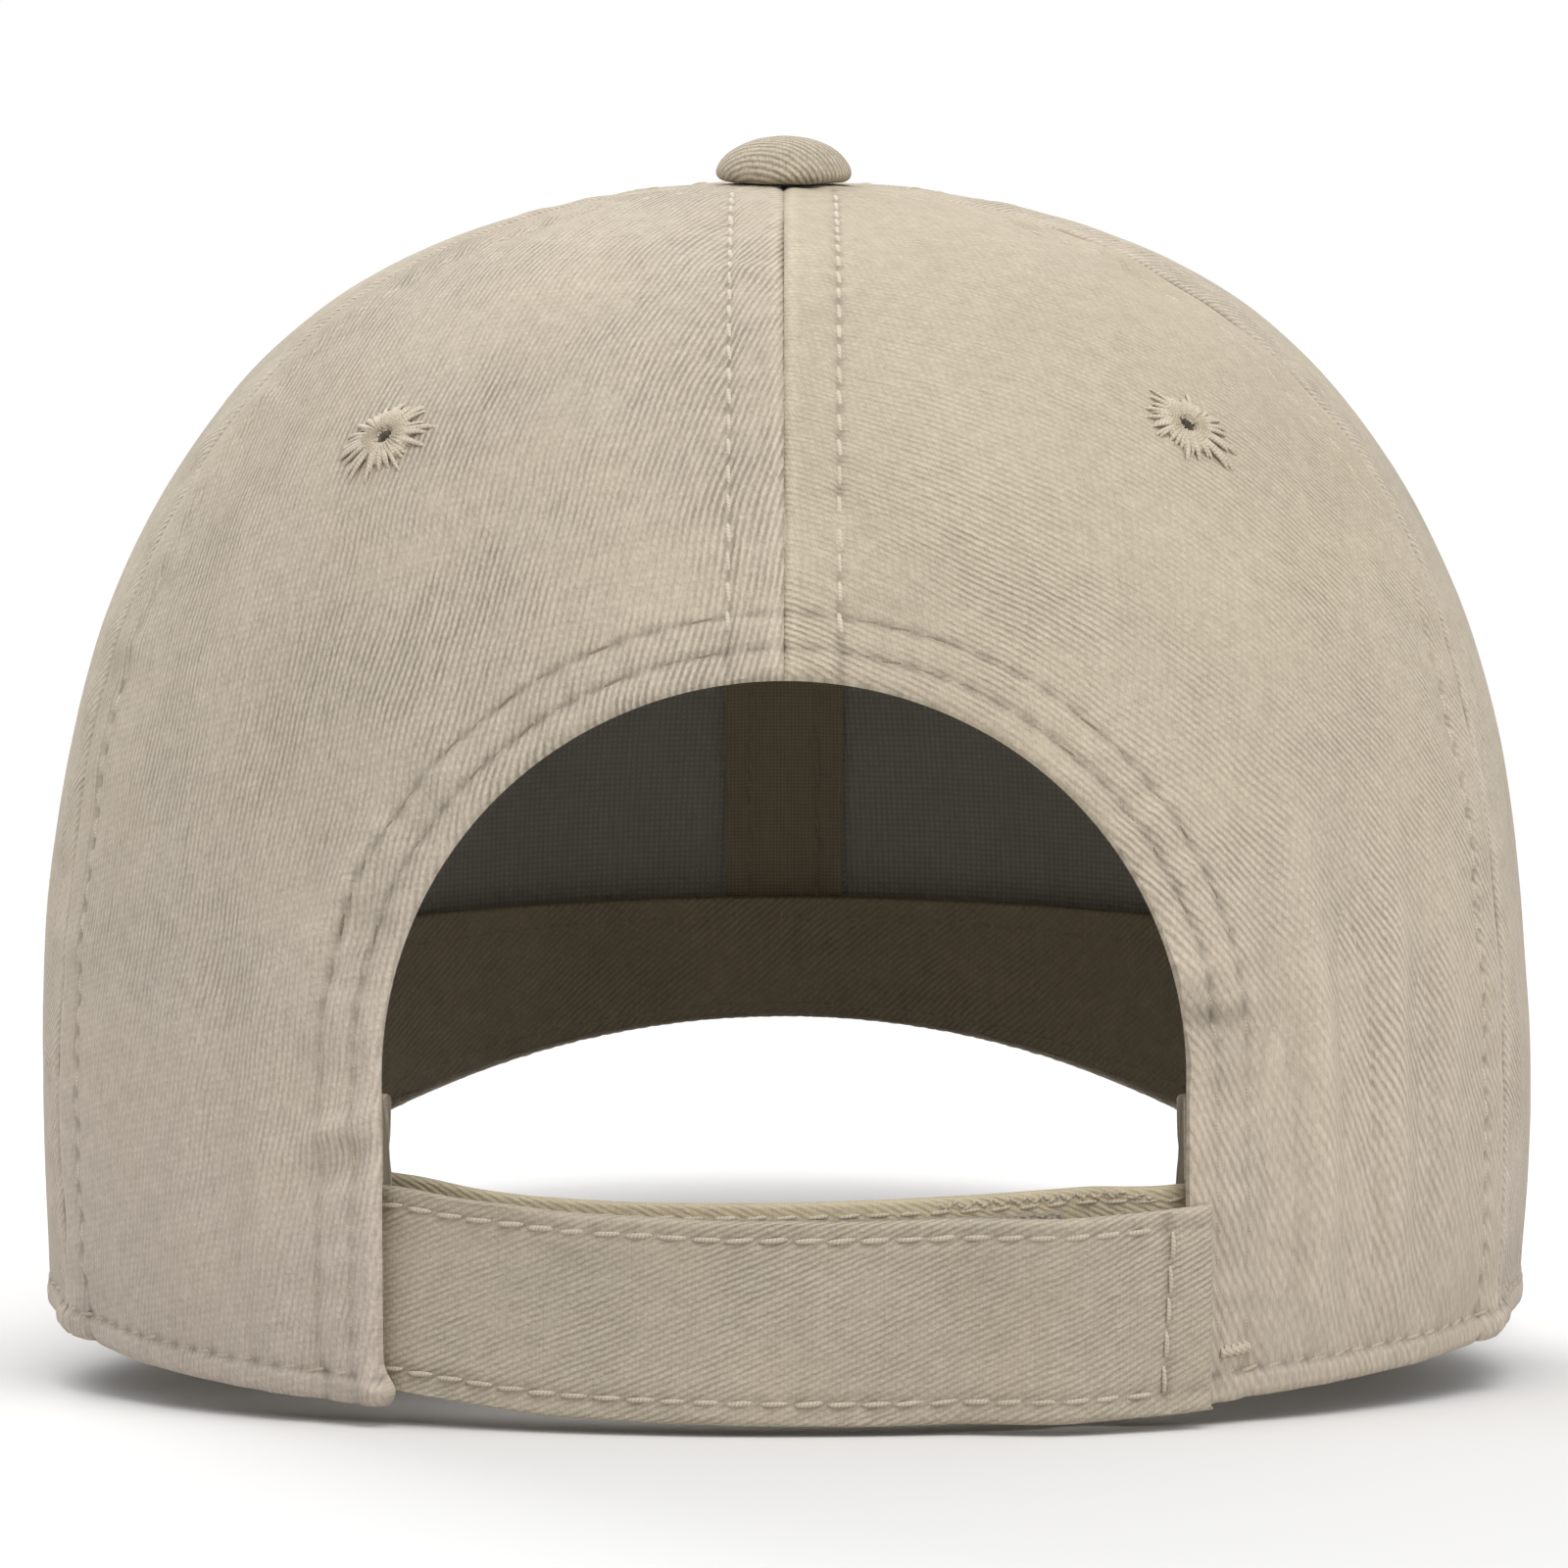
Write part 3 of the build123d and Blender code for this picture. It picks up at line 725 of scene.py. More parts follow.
def plain_weave(name, light, dark, pitch, depth=0.08, floor=0.15, roughness=0.9):
    """Plain woven tape or stiffener; floor is the height that takes the dark colour."""
    g = MaterialNet(name)
    u, v, w = g.split(g.attribute("cl"))
    waver = (g.noise((u, v, w), scale=0.5) - 0.5) * 0.25
    across, along = (g.math("SINE", (x + waver) * (math.pi / pitch)) for x in (u, v))
    grain = g.noise((u / 0.3, v / 5.0, w))
    height = g.math("ABSOLUTE", across * along) * 0.8 + grain * 0.5
    color = g.mix(g.ramp(height, floor, 1.1), dark, light)
    cloud = g.noise((u, v, w), scale=0.06, detail=3.0)
    # painted shade from the mesh's shade attribute, darker along the side tapes' stitch rows
    bright = 0.9 + cloud * 0.2 + g.attribute("shade", "Fac") * 0.3
    g.look(color=g.scale(color, bright), roughness=roughness, specular=0.2)
    g.emboss(height, depth=depth)
    return g.material


def thread(name, light, dark):
    """Twisted sewing thread, finely ribbed along its length."""
    g = MaterialNet(name)
    u, v, w = g.split(g.attribute("cl"))
    ply = g.math("SINE", (u + v * 0.5) * (2 * math.pi / 0.42))
    tone = ply * 0.22 + (g.noise((u, v, w), scale=1.4) * 0.7 + 0.15)
    g.look(color=g.mix(tone, dark, light), roughness=0.6, specular=0.35, sheen=0.15)
    g.emboss(tone, depth=0.08, strength=0.7)
    return g.material


def pile(name, light, dark, scale, randomness, sheen):
    """Hook tape or loop tape: a woven ground covered in tiny hooks or loops."""
    g = MaterialNet(name)
    cells = {"Vector": g.attribute("cl"), "Scale": scale, "Randomness": randomness}
    cell = g.out("TexVoronoi", cells, output="Distance")
    u, v, w = g.split(g.attribute("cl"))
    fuzz = g.noise((u, v, w), scale=2.4, detail=3.0, rough=0.7)
    height = (1.0 - cell) + fuzz * 0.8
    g.look(color=g.mix(g.ramp(height, 0.5, 1.6), dark, light), roughness=0.7, sheen=sheen)
    g.emboss(height, depth=0.4)
    return g.material


def hard(name, color, metallic, roughness):
    """Finely scratched metal or plastic."""
    g = MaterialNet(name)
    scratch = g.noise(g.out("TexCoord", output="Object"), scale=900.0, detail=3.0)
    g.look(color=g.mix(scratch, tuple(c * 0.8 for c in color), color), metallic=metallic,
           roughness=g.ramp(scratch, 0.3, 0.7, roughness, roughness + 0.2))
    g.emboss(scratch, depth=0.05, strength=0.3)
    return g.material


TWILL_LEFT = twill("twill_left", angle=79, contrast=1.12, depth=0.20, bend=(84.0, -0.36),
                   wale_gain=1.2, worn=(26.0, 66.0, 0.12), ash=True)
TWILL_RIGHT = twill("twill_right", angle=-40, light=(0.79, 0.693, 0.54), dark=(0.45, 0.381, 0.28),
                    fade=(92.0, 124.0), wale_gain=1.05, worn=(4.0, 62.0, 0.24), ash=True)
TWILL_SIDE_LEFT = twill("twill_side_left", angle=50, ash=True)
TWILL_SIDE_RIGHT = twill("twill_side_right", angle=-50, ash=True)
TWILL_FRONT = twill("twill_front", angle=48, ash=True)
TWILL_VISOR = twill("twill_visor", angle=32)
TWILL_STRAP = twill("twill_strap", angle=24, light=(0.68, 0.60, 0.482), dark=(0.385, 0.328, 0.25),
                    wale=0.66, depth=0.14, wander=0.3, calm=1.0)
TWILL_UNDER = twill("twill_under_strap", angle=-24, light=(0.76, 0.67, 0.48),
                    dark=(0.56, 0.48, 0.325), wale=0.66, wander=0.3, depth=0.10, calm=1.0,
                    contrast=0.8)
TWILL_BUTTON = twill("twill_button", angle=28, light=(0.72, 0.635, 0.495),
                     dark=(0.29, 0.245, 0.175), wale=0.8, contrast=1.25, depth=0.24)
TWILL_BAND = twill("twill_band", angle=40, light=(0.76, 0.67, 0.52), dark=(0.48, 0.405, 0.29),
                   wale=0.7, depth=0.1)
TAPE = plain_weave("tape_weave", light=(0.80, 0.71, 0.56), dark=(0.54, 0.46, 0.34), pitch=0.45)
BUCKRAM = plain_weave("buckram_weave", light=(0.90, 0.89, 0.85), dark=(0.66, 0.64, 0.59),
                      pitch=0.7, depth=0.14, floor=0.2)
LABEL = plain_weave("label_satin", light=(0.86, 0.85, 0.82), dark=(0.74, 0.73, 0.70),
                    pitch=0.25, depth=0.03, roughness=0.5)
THREAD_KHAKI = thread("thread_khaki", light=(0.90, 0.83, 0.69), dark=(0.58, 0.50, 0.38))
THREAD_HEM = thread("thread_hem", light=(0.76, 0.67, 0.53), dark=(0.42, 0.355, 0.265))
# thread painted dark as painted shade, for the upper rows round the opening that lie in its
# shadowed channel
THREAD_PAINTED_SHADE = thread("thread_painted_shade", light=(0.42, 0.35, 0.245), dark=(0.20, 0.16, 0.105))
THREAD_EYELET = thread("thread_eyelet", light=(0.88, 0.80, 0.65), dark=(0.50, 0.42, 0.31))
THREAD_CREAM = thread("thread_cream", light=(0.84, 0.76, 0.62), dark=(0.48, 0.405, 0.30))
HOOK_TAPE = pile("hook_tape", light=(0.62, 0.54, 0.41), dark=(0.30, 0.255, 0.19),
                 scale=1.1, randomness=0.35, sheen=0.1)
LOOP_TAPE = pile("loop_tape", light=(0.66, 0.58, 0.45), dark=(0.36, 0.31, 0.235),
                 scale=1.9, randomness=1.0, sheen=0.4)


# ------------------------------------------------------------------ sewing
class Stitches:
    """Rows of separate stitches gathered into one mesh."""

    STEPS, CORNERS = 8, 8  # points along a stitch and round it

    def __init__(self):
        self.points, self.faces, self.cloth = [], [], []
        self.count = 0
        self.rng = np.random.default_rng(101)

    def one(self, start, end, normal, radius=0.21, lift=0.24, skew=0.10):
        """A stitch arched off the cloth along the normal; skew turns it sideways."""
        along = end - start
        length = float(np.linalg.norm(along))
        if length < 0.4:
            return
        along = along / length
        sideways = np.cross(normal, along)
        sideways /= np.linalg.norm(sideways) + 1e-9
        t = np.linspace(0, 1, self.STEPS)
        radius = radius * self.rng.uniform(0.9, 1.12)
        skew = skew * self.rng.uniform(0.4, 1.6)
        arch = lift * np.sin(math.pi * t) ** 0.55 - 0.16
        middle = start + along * (t * length)[:, None]
        middle = middle + normal * arch[:, None] + sideways * ((t - 0.5) * skew * 2)[:, None]
        radii = radius * (0.45 + 0.55 * np.sin(math.pi * t) ** 0.45)
        angle = np.arange(self.CORNERS) * 2 * math.pi / self.CORNERS
        section = np.cos(angle)[:, None] * sideways * 1.15 + np.sin(angle)[:, None] * normal * 0.85
        points = (middle[:, None] + section[None] * radii[:, None, None]).reshape(-1, 3)
        first = self.count
        last = first + (self.STEPS - 1) * self.CORNERS
        faces = grid_faces(self.STEPS, self.CORNERS, close_cols=True) + first
        self.faces += faces.tolist()
        self.faces.append([first + i for i in range(self.CORNERS)][::-1])
        self.faces.append([last + i for i in range(self.CORNERS)])
        self.cloth.append(stack_with(
            np.repeat(t * length, self.CORNERS), np.tile(angle / 6.28, self.STEPS), first * 0.37))
        self.points.append(points)
        self.count += len(points)

    def row(self, points, normals, pitch=STITCH_PITCH, length=2.85, along=None, **shape):
        """Stitches spaced along a line; along replaces the line's own length at its points."""
        if along is None:
            along = np.r_[0, np.cumsum(np.linalg.norm(np.diff(points, axis=0), axis=1))]

        def at(x, values):
            return np.array([np.interp(x, along, values[:, i]) for i in range(3)])

        x = math.ceil(along[0] / pitch) * pitch + pitch * 0.5 - length / 2
        while x + length < along[-1]:
            shift = self.rng.uniform(-0.12, 0.12)
            normal = at(x + length / 2, normals)
            normal /= np.linalg.norm(normal)
            start, end = at(x + shift, points), at(x + shift + length, points)
            self.one(start, end, normal, **shape)
            x += pitch

    def build(self, name, material):
        return make_mesh(name, np.concatenate(self.points), self.faces, material,
                         np.concatenate(self.cloth), sharp=0)


# ------------------------------------------------------------------ crown panels
# eyelets: side, degrees round from the rear, height
EYELET_PLACES = [
    (1, 41.4, 101.8), (-1, 43.0, 103.1), (1, 103.0, 102.5), (-1, 103.0, 102.5),
    (1, 151.5, 102.5), (-1, 151.5, 102.5),
]
EYELETS = [(side, arc_of(deg), float(s_at_z(z))) for side, deg, z in EYELET_PLACES]
DENSE = 7.6  # width of the strip beside each seam that has tighter columns


def crown_keep(side, depth=0.0, hole=1.75):
    """Positive inside the outline of a crown layer, roughly in mm from its edges."""
    holes = [crown(side, a, s) for eyelet_side, a, s in EYELETS if eyelet_side == side]

    def keep(a, s):
        p = crown(side, a, s, depth)
        x, y, z = p[..., 0], p[..., 1], p[..., 2]
        value = np.minimum(
            above_visor(x, y, z, gap=0.12), np.where(y > AXIS_Y, off_opening(x, z), 9.0))
        for centre in holes:
            value = np.minimum(value, np.linalg.norm(p - centre, axis=-1) - hole)
        return value

    return keep


def seam_columns(a0, a1, s, grid_step, gap=0.006):
    """Arc coordinates of every row's columns, packed tighter beside both seams."""
    dense_count = int(round(DENSE / min(grid_step, 0.5)))
    middle_count = int(round(((a1 - a0) * CROWN_R - 15) / grid_step))
    r = ring(s)[0][:, None]
    width = (a1 - a0) * r - 2 * gap
    dense = np.minimum(DENSE, 0.4 * width)
    edge = np.linspace(0, 1, dense_count + 1)[:-1]
    middle = np.linspace(0, 1, middle_count + 1)
    across = np.concatenate(
        [dense * edge, dense + (width - 2 * dense) * middle, width - dense * edge[::-1]], 1)
    return a0 + (across + gap) / r


def facing(side, faces):
    """Faces turned outward for the given side."""
    return [face[::-1] for face in faces] if side > 0 else faces


def panel(place, hand, side, a0, a1, material, grid_step):
    """One crown panel: the sewn outer surface and a plain inner one."""
    s = np.concatenate([np.arange(0, 5, 0.35), np.arange(5, S_END, grid_step), [S_END]])
    a = seam_columns(a0, a1, s, grid_step)
    a, s, faces = clip_grid(a, np.repeat(s[:, None], a.shape[1], 1), crown_keep(side))
    top, _, shade = sewn_surface(side, a, s)
    centre, r = (a0 + a1) / 2, ring(s)[0]
    # the cloth's grain runs up the middle of the panel and curves away beside it
    curve = 0.22 if (place, hand) == ("rear", "left") else 0.5
    v = s - curve * (a - centre) ** 2 * r * np.interp(s, PATH_S, SLOPE_R)
    if (place, hand) == ("rear", "right"):
        # wales spread out toward the hem
        table = np.arange(-60.0, 260.0, 0.5)
        total = np.cumsum(0.40 + 0.60 * ease((table - 14) / 66)) * 0.5
        v = np.interp(v, table, total - np.interp(100.0, table, total) + 100.0)
    ob = make_sheet(
        f"cap_{place}_{hand}", top, crown(side, a, s, 0.86), facing(side, faces), material,
        stack_with(-side * (a - centre) * r, v, 13.0 * side + a0 * 10),
        shade=np.concatenate([shade, np.full(len(a), 0.12)]), sharp=55)
    hand_over(ob, "twill", f"{place}_panel_{hand}")


# place, first and last seam, grid step, left and right cloth
PANELS = (
    ("rear", 0.0, A_SIDE, 0.46, (TWILL_LEFT, TWILL_RIGHT)),
    ("side", A_SIDE, A_FRONT, 0.7, (TWILL_SIDE_LEFT, TWILL_SIDE_RIGHT)),
    ("front", A_FRONT, A_END, 0.7, (TWILL_FRONT, TWILL_FRONT)),
)
for place, a0, a1, grid_step, materials in PANELS:
    for (side, hand), material in zip(SIDES, materials):
        panel(place, hand, side, a0, a1, material, grid_step)


def buckram(side, hand, grid_step=1.1, outer_depth=1.05, inner_depth=1.75):
    """Stiffener inside a front panel."""
    a0, a1 = A_FRONT + 0.002, A_END - 0.002
    s = np.arange(0.0, S_END, grid_step)
    a = np.linspace(0, 1, int((a1 - a0) * CROWN_R / grid_step)) * (a1 - a0) + a0
    a, s = np.broadcast_arrays(a[None], s[:, None])
    a, s, faces = clip_grid(a, s, crown_keep(side, outer_depth, hole=1.95))
    ob = make_sheet(
        f"cap_buckram_{hand}", crown(side, a, s, outer_depth), crown(side, a, s, inner_depth),
        facing(side, faces), BUCKRAM, stack_with((a - (a0 + a1) / 2) * ring(s)[0], s, side))
    hand_over(ob, "buckram", f"buckram_{hand}")


for side, hand in SIDES:
    buckram(side, hand)


# ------------------------------------------------------------------ crown stitching
def opening_stitching():
    """Two rows round the rear opening, with thread painted dark above as painted shade, and fainter
    near the hem.
    """
    upper, lower = Stitches(), Stitches()
    turn = np.radians(np.arange(0, 90.01, 0.5))
    foot = np.arange(4.2, OPENING_Z, 0.5)
    for side, _ in SIDES:
        for offset in OPENING_ROWS:
            radius = OPENING_R + offset
            x = np.r_[np.full_like(foot, radius), radius * np.cos(turn)]
            s = s_at_z(np.r_[foot, OPENING_Z + radius * np.sin(turn)])
            a = arc_at(np.arcsin(np.clip(x / ring(s)[0], 0, 1)))
            p, n, _ = sewn_surface(side, a, s)
            along = round_opening(p[:, 0], p[:, 2])
            rising = np.r_[True, np.diff(along) > 1e-4]
            high, low = rising & (along > 46), rising & (along <= 46)
            upper.row(p[high], n[high], length=2.7, along=along[high],
                      radius=0.19, lift=0.20, skew=0.16)
            lower.row(p[low], n[low], length=2.3, along=along[low],
                      radius=0.19, lift=0.16, skew=0.30)
    hand_over(upper.build("opening_stitching", THREAD_PAINTED_SHADE), "thread")
    hand_over(lower.build("opening_stitching_low", THREAD_HEM), "thread")


def hem_stitching():
    """A row from the opening round to the visor, then along the visor seam."""
    sewing = Stitches()
    a = np.arange(arc_of(31.5), A_END - 0.004, 0.5 / CROWN_R)
    for side, _ in SIDES:
        s = np.full_like(a, HEM_ROW)
        for _ in range(6):
            x, y, z = crown(side, a, s).T
            over = above_visor(x, y, z, elsewhere=z)
            s = np.maximum(s + (HEM_ROW - np.minimum(over, z)), HEM_ROW)
        p, n, _ = sewn_surface(side, a, s)
        sewing.row(p, n, along=a * CROWN_R, radius=0.22, lift=0.22, length=2.6, skew=0.2)
    hand_over(sewing.build("hem_stitching", THREAD_HEM), "thread")


def crown_stitching():
    """Rows on both sides of every seam."""
    sewing = Stitches()
    stop = float(np.interp(-11.5, -PATH_R, PATH_S))
    shoulder = 74.0
    # first and last s, thread radius, lift
    plain = [(4.5, stop, 0.25, 0.30)]
    from_opening = [(S_OPENING - 2, stop, 0.25, 0.30)]
    # drawn tight into the cloth over the shoulder of the crown
    tight = [(4.5, shoulder, 0.25, 0.30), (shoulder, stop, 0.15, 0.15)]
    # each seam's stretches, and the directions in which it has a row on this half
    seams = ((from_opening, (1,)), (tight, (1, -1)), (plain, (1, -1)), (plain, (-1,)))
    for side, _ in SIDES:
        keep = crown_keep(side)
        for seam, (stretches, signs) in zip(SEAMS, seams):
            for sign in signs:
                for start, end, radius, lift in stretches:
                    s = np.arange(start, end, 0.5)
                    a = seam + sign * SEAM_ROW / ring(s)[0]
                    ok = keep(a, s) > 1.0
                    p, n, _ = sewn_surface(side, a, s)
                    sewing.row(p[ok], n[ok], along=s[ok], radius=radius, lift=lift, length=2.7)
    hand_over(sewing.build("crown_stitching", THREAD_KHAKI), "thread")


def corner_tack():
    """Bar tack at the right lower corner of the opening."""
    sewing = Stitches()
    for i in range(9):
        x, z = OPENING_R + 3.4 + i * 0.42, 5.3 + 0.25 * (i % 2)
        ends = []
        for dz in (-0.55, 0.75):
            s = s_at_z(z + dz)
            a = arc_at(math.asin(min(1, (x + 0.2 * dz) / ring(s)[0])))
            ends.append(sewn_surface(-1, a, s))
        sewing.one(ends[0][0], ends[1][0], ends[0][1], radius=0.29, lift=0.50, skew=0.03)
    hand_over(sewing.build("corner_tack", THREAD_CREAM), "thread")


opening_stitching()
hem_stitching()
crown_stitching()
corner_tack()


# ------------------------------------------------------------------ embroidered eyelets
def eyelet_rings():
    """Ribbed rings of satin stitch round the six holes."""
    strands, per_strand = 34, 5
    count = strands * per_strand
    phi = np.arange(count) * 2 * math.pi / count
    strand = np.arange(count) // per_strand
    rib = np.sin((np.arange(count) % per_strand + 0.5) / per_strand * math.pi)
    random = np.random.default_rng(5)
    points, faces, cloth, total = [], [], [], 0
    for k, (side, a, s) in enumerate(EYELETS):
        centre, normal, _ = sewn_surface(side, a, s)
        theta = float(theta_of(a))
        along = np.array([side * math.cos(theta), -math.sin(theta), 0.0])
        along -= normal * (along @ normal)
        along /= np.linalg.norm(along)
        up = np.cross(normal, along)
        outer_jitter = random.uniform(-0.55, 0.60, strands)[strand]
        inner_jitter = random.uniform(-0.10, 0.22, strands)[strand]
        rows = []
        # upper face, from the hole outward
        for t in np.linspace(0, 1, 12):
            radius = (1.10 + inner_jitter) * (1 - t) + (3.45 + 0.8 * outer_jitter) * t
            ridge = 0.22 + 0.50 * rib + 0.06 * random.uniform(-1, 1, strands)[strand]
            height = 0.16 + ridge * math.sin(math.pi * (0.10 + 0.90 * t)) ** 0.5
            height = height + 0.12 - 0.30 * t**3
            rows.append((radius, height - radius**2 / 170.0))
        # underside, back to the hole
        for t in np.linspace(1, 0, 6):
            radius = 1.18 + inner_jitter * t + (3.2 - 1.18) * t * 0.55
            rows.append((radius, np.full(count, -0.45 if t > 0.99 else -1.15)))
        for radius, height in rows:
            points.append(
                centre + along * (radius * np.cos(phi))[:, None]
                + up * (radius * np.sin(phi))[:, None] + normal * height[:, None])
        faces += (grid_faces(len(rows), count, close_cols=True, close_rows=True) + total).tolist()
        cloth.append(stack_with(
            np.repeat(np.arange(len(rows)) * 0.25, count), np.tile(strand * 0.9, len(rows)), k))
        total += len(rows) * count
    ob = make_mesh("eyelet_embroidery", np.concatenate(points), faces, THREAD_EYELET,
                   np.concatenate(cloth), sharp=0)
    hand_over(ob, "thread", "eyelets")


def eyelet_threads():
    """Loose radial stitches over each ring."""
    sewing = Stitches()
    random = np.random.default_rng(31)
    spokes = 44
    # the rings are pulled out downward and away from the rear centre
    pulled = math.atan2(-0.62, 0.78)
    for side, a, s in EYELETS:
        _, normal, _ = sewn_surface(side, a, s)
        radius = max(ring(s)[0], 20.0)
        random.uniform(0, 6.28)  # unused draw that holds the random sequence in place
        for i in range(spokes):
            phi = 2 * math.pi * (i + random.uniform(-0.3, 0.3)) / spokes
            toward = math.cos(phi - pulled)
            pull, back = max(0.0, toward) ** 3, max(0.0, -toward) ** 4
            reach = 4.1 + random.uniform(-0.4, 0.9) + 1.9 * pull + 0.7 * back
            reach += 0.9 if random.uniform() > 0.86 else 0.0
            start = 0.85 + random.uniform(-0.1, 0.4)
            bow = random.uniform(-0.16, 0.16)

            def at(distance, turn):
                across = distance * math.cos(phi + turn)
                up = distance * math.sin(phi + turn)
                return sewn_surface(side, a + across / radius, s + up)[0]

            sewing.one(at(start, 0.0) + normal * 0.34, at(reach, bow) + normal * 0.06, normal,
                       radius=float(random.uniform(0.19, 0.30)), lift=0.52, skew=0.16)
    hand_over(sewing.build("eyelet_threads", THREAD_EYELET), "thread")


eyelet_rings()
eyelet_threads()

# ------------------------------------------------------------------ button
# radius and height over the crown: top centre, round the bulge, and under the rim
BUTTON_PROFILE = np.array([
    (0.02, 5.30), (1.6, 5.22), (3.2, 4.95), (4.8, 4.40), (6.1, 3.62), (7.0, 2.72), (7.55, 1.85),
    (7.72, 1.15), (7.50, 0.55), (6.9, 0.20), (6.2, 0.12), (5.2, 0.16), (5.1, 0.55),
])


def button():
    """Cloth-covered button on top of the crown, as a thin shell."""
    rows, cols = 46, 144
    radius_at, height_at, stations = path_splines(BUTTON_PROFILE)
    path = np.linspace(0, stations[-1], rows)
    phi = np.tile(np.arange(cols) * 2 * math.pi / cols, (rows, 1))
    cos, sin = np.cos(phi), np.sin(phi)
    radius = np.repeat(radius_at(path)[:, None], cols, 1)
    z = np.repeat(height_at(path)[:, None], cols, 1)
    gather = WAVER(phi * 5.5 / 2 / math.pi * 4, 3.0) * 0.5 + PUCKER(cos * 5 + 9, sin * 5) * 0.5
    radius = radius * (1 + 0.016 * ease((radius - 5.4) / 2.0) * gather)
    z = z + 0.10 * RIPPLE(radius * cos / 2.5, radius * sin / 2.5)
    # painted shade on the underside of the rim
    shade = (-0.9 * ease((1.2 - z) / 1.1) * (radius > 6)).ravel()

    def shell(r, height):
        return np.stack([r * cos, AXIS_Y + r * sin, CROWN_H + height], -1).reshape(-1, 3)

    inner_z = np.where(z > 1.0, z - 0.5, np.minimum(z + 0.35, 1.0))
    inner = shell(np.maximum(radius - 0.55, 0.01), inner_z)
    length = path[:, None]
    cloth = stack_with(-length * cos, length * sin, 55.0).reshape(-1, 3)
    n, last = rows * cols, (rows - 1) * cols
    outer_faces = [face[::-1] for face in grid_faces(rows, cols, close_cols=True).tolist()]
    inner_faces = [[i + n for i in reversed(face)] for face in outer_faces]
    rim = []
    for i in range(cols):
        p, q = last + i, last + (i + 1) % cols
        rim.append([p, q, n + q, n + p])
    caps = [list(range(cols)), [n + i for i in reversed(range(cols))]]
    ob = make_mesh(
        "crown_button", np.concatenate([shell(radius, z), inner]),
        outer_faces + inner_faces + rim + caps, TWILL_BUTTON,
        np.concatenate([cloth, cloth]), np.concatenate([shade, shade]), sharp=60)
    hand_over(ob, "twill", "button_cover")


button()

# ------------------------------------------------------------------ seam tapes and binding
TAPE_OUTER, TAPE_INNER, TAPE_STITCH = 1.92, 2.48, 2.62  # depths inside the crown's surface
TAPE_HALF, TAPE_ROW = 7.5, 4.2  # half width, and stitch rows either side of the middle
TAPE_STEP = 0.9
TAPE_ACROSS = np.linspace(-TAPE_HALF, TAPE_HALF, 23)


def project(p, depth, s_guess):
    """Moves points onto a layer of the crown, in the half plane through the axis."""
    s = np.array(s_guess, float)
    k = np.where(p[:, 1] >= AXIS_Y, 1.0, FRONT_STRETCH)
    x, y = p[:, 0], (p[:, 1] - AXIS_Y) / k
    rho = np.hypot(x, y) + 1e-9
    scale_r, scale_z = (CROWN_R - depth) / CROWN_R, (CROWN_H - depth) / CROWN_H
    for _ in range(6):
        r, z = ring(s, depth)
        dr = np.interp(s, PATH_S, SLOPE_R) * scale_r
        dz = np.interp(s, PATH_S, SLOPE_Z) * scale_z
        miss = ((r - rho) * dr + (z - p[:, 2]) * dz) / (dr * dr + dz * dz)
        s = np.clip(s - miss, 0, S_END)
    r, z = ring(s, depth)
    return np.stack([x / rho * r, AXIS_Y + k * y / rho * r, z], -1)


def tape_points(side, seam, s, offset, depth):
    """Points and crown normals of a tape: s along the seam, offset across it."""
    theta = float(theta_of(seam))
    at_seam = np.full_like(s, seam)
    centre = crown(side, at_seam, s, depth)
    normal = crown_normal(side, at_seam, s)
    outward = np.array([side * math.sin(theta), float(stretch(theta)) * math.cos(theta), 0.0])
    outward /= np.linalg.norm(outward)
    across = np.array([outward[1], -outward[0], 0.0])
    bend = np.maximum(ring(s, depth)[0] / np.maximum(np.abs(normal @ outward), 0.08), 40.0)
    p = centre + across * offset[:, None] - normal * (offset**2 / (2 * bend))[:, None]
    return project(p, depth, s), normal


def tape_relief(offset):
    """Raised selvedges and grooves under the stitch rows."""
    row = np.abs(offset) - TAPE_ROW
    return 0.05 + 0.10 * bump(np.abs(offset) - TAPE_HALF, 0.8) - 0.14 * bump(row, 0.6)


def sew_tape(sewing, side, seam, start, end, keep=None):
    for row in (-TAPE_ROW, TAPE_ROW):
        s = np.arange(start, end, 0.5)
        if keep:
            s = s[keep(s, np.full_like(s, row)) > 1.5]
        p, n = tape_points(side, seam, s, np.full_like(s, row), TAPE_STITCH)
        sewing.row(p, -n, pitch=3.3, length=2.7)


def side_tape(sewing, side, hand, seam, place):
    """Tape over the seam before or behind a side panel."""

    def keep(s, offset):
        p, _ = tape_points(side, seam, np.ravel(s), np.ravel(offset), TAPE_OUTER)
        x, y, z = p.T
        clear_of_centre = side * x - 7.9
        return np.minimum(clear_of_centre, above_visor(x, y, z, gap=0.15)).reshape(np.shape(s))

    s, offset = np.meshgrid(np.arange(0.3, S_END - 3, TAPE_STEP), TAPE_ACROSS, indexing="ij")
    s, offset, faces = clip_grid(s, offset, keep)
    outer, normal = tape_points(side, seam, s, offset, TAPE_OUTER)
    inner, _ = tape_points(side, seam, s, offset, TAPE_INNER)
    inner = inner - normal * (tape_relief(offset) + 0.08 * WAVER(s / 3, offset / 4))[:, None]
    # painted shade along the stitch rows on the tape's inner face
    dark = -0.5 * bump(np.abs(offset) - TAPE_ROW, 0.5)
    ob = make_sheet(
        f"tape_{hand}_{place}", outer, inner, faces, TAPE,
        stack_with(offset, s, seam * 7 + side), shade=np.concatenate([0 * dark, dark]))
    fix_normals(ob)
    hand_over(ob, "tape", f"seam_tape_{hand}_{place}")
    sew_tape(sewing, side, seam, 3.0, S_END - 12, keep)


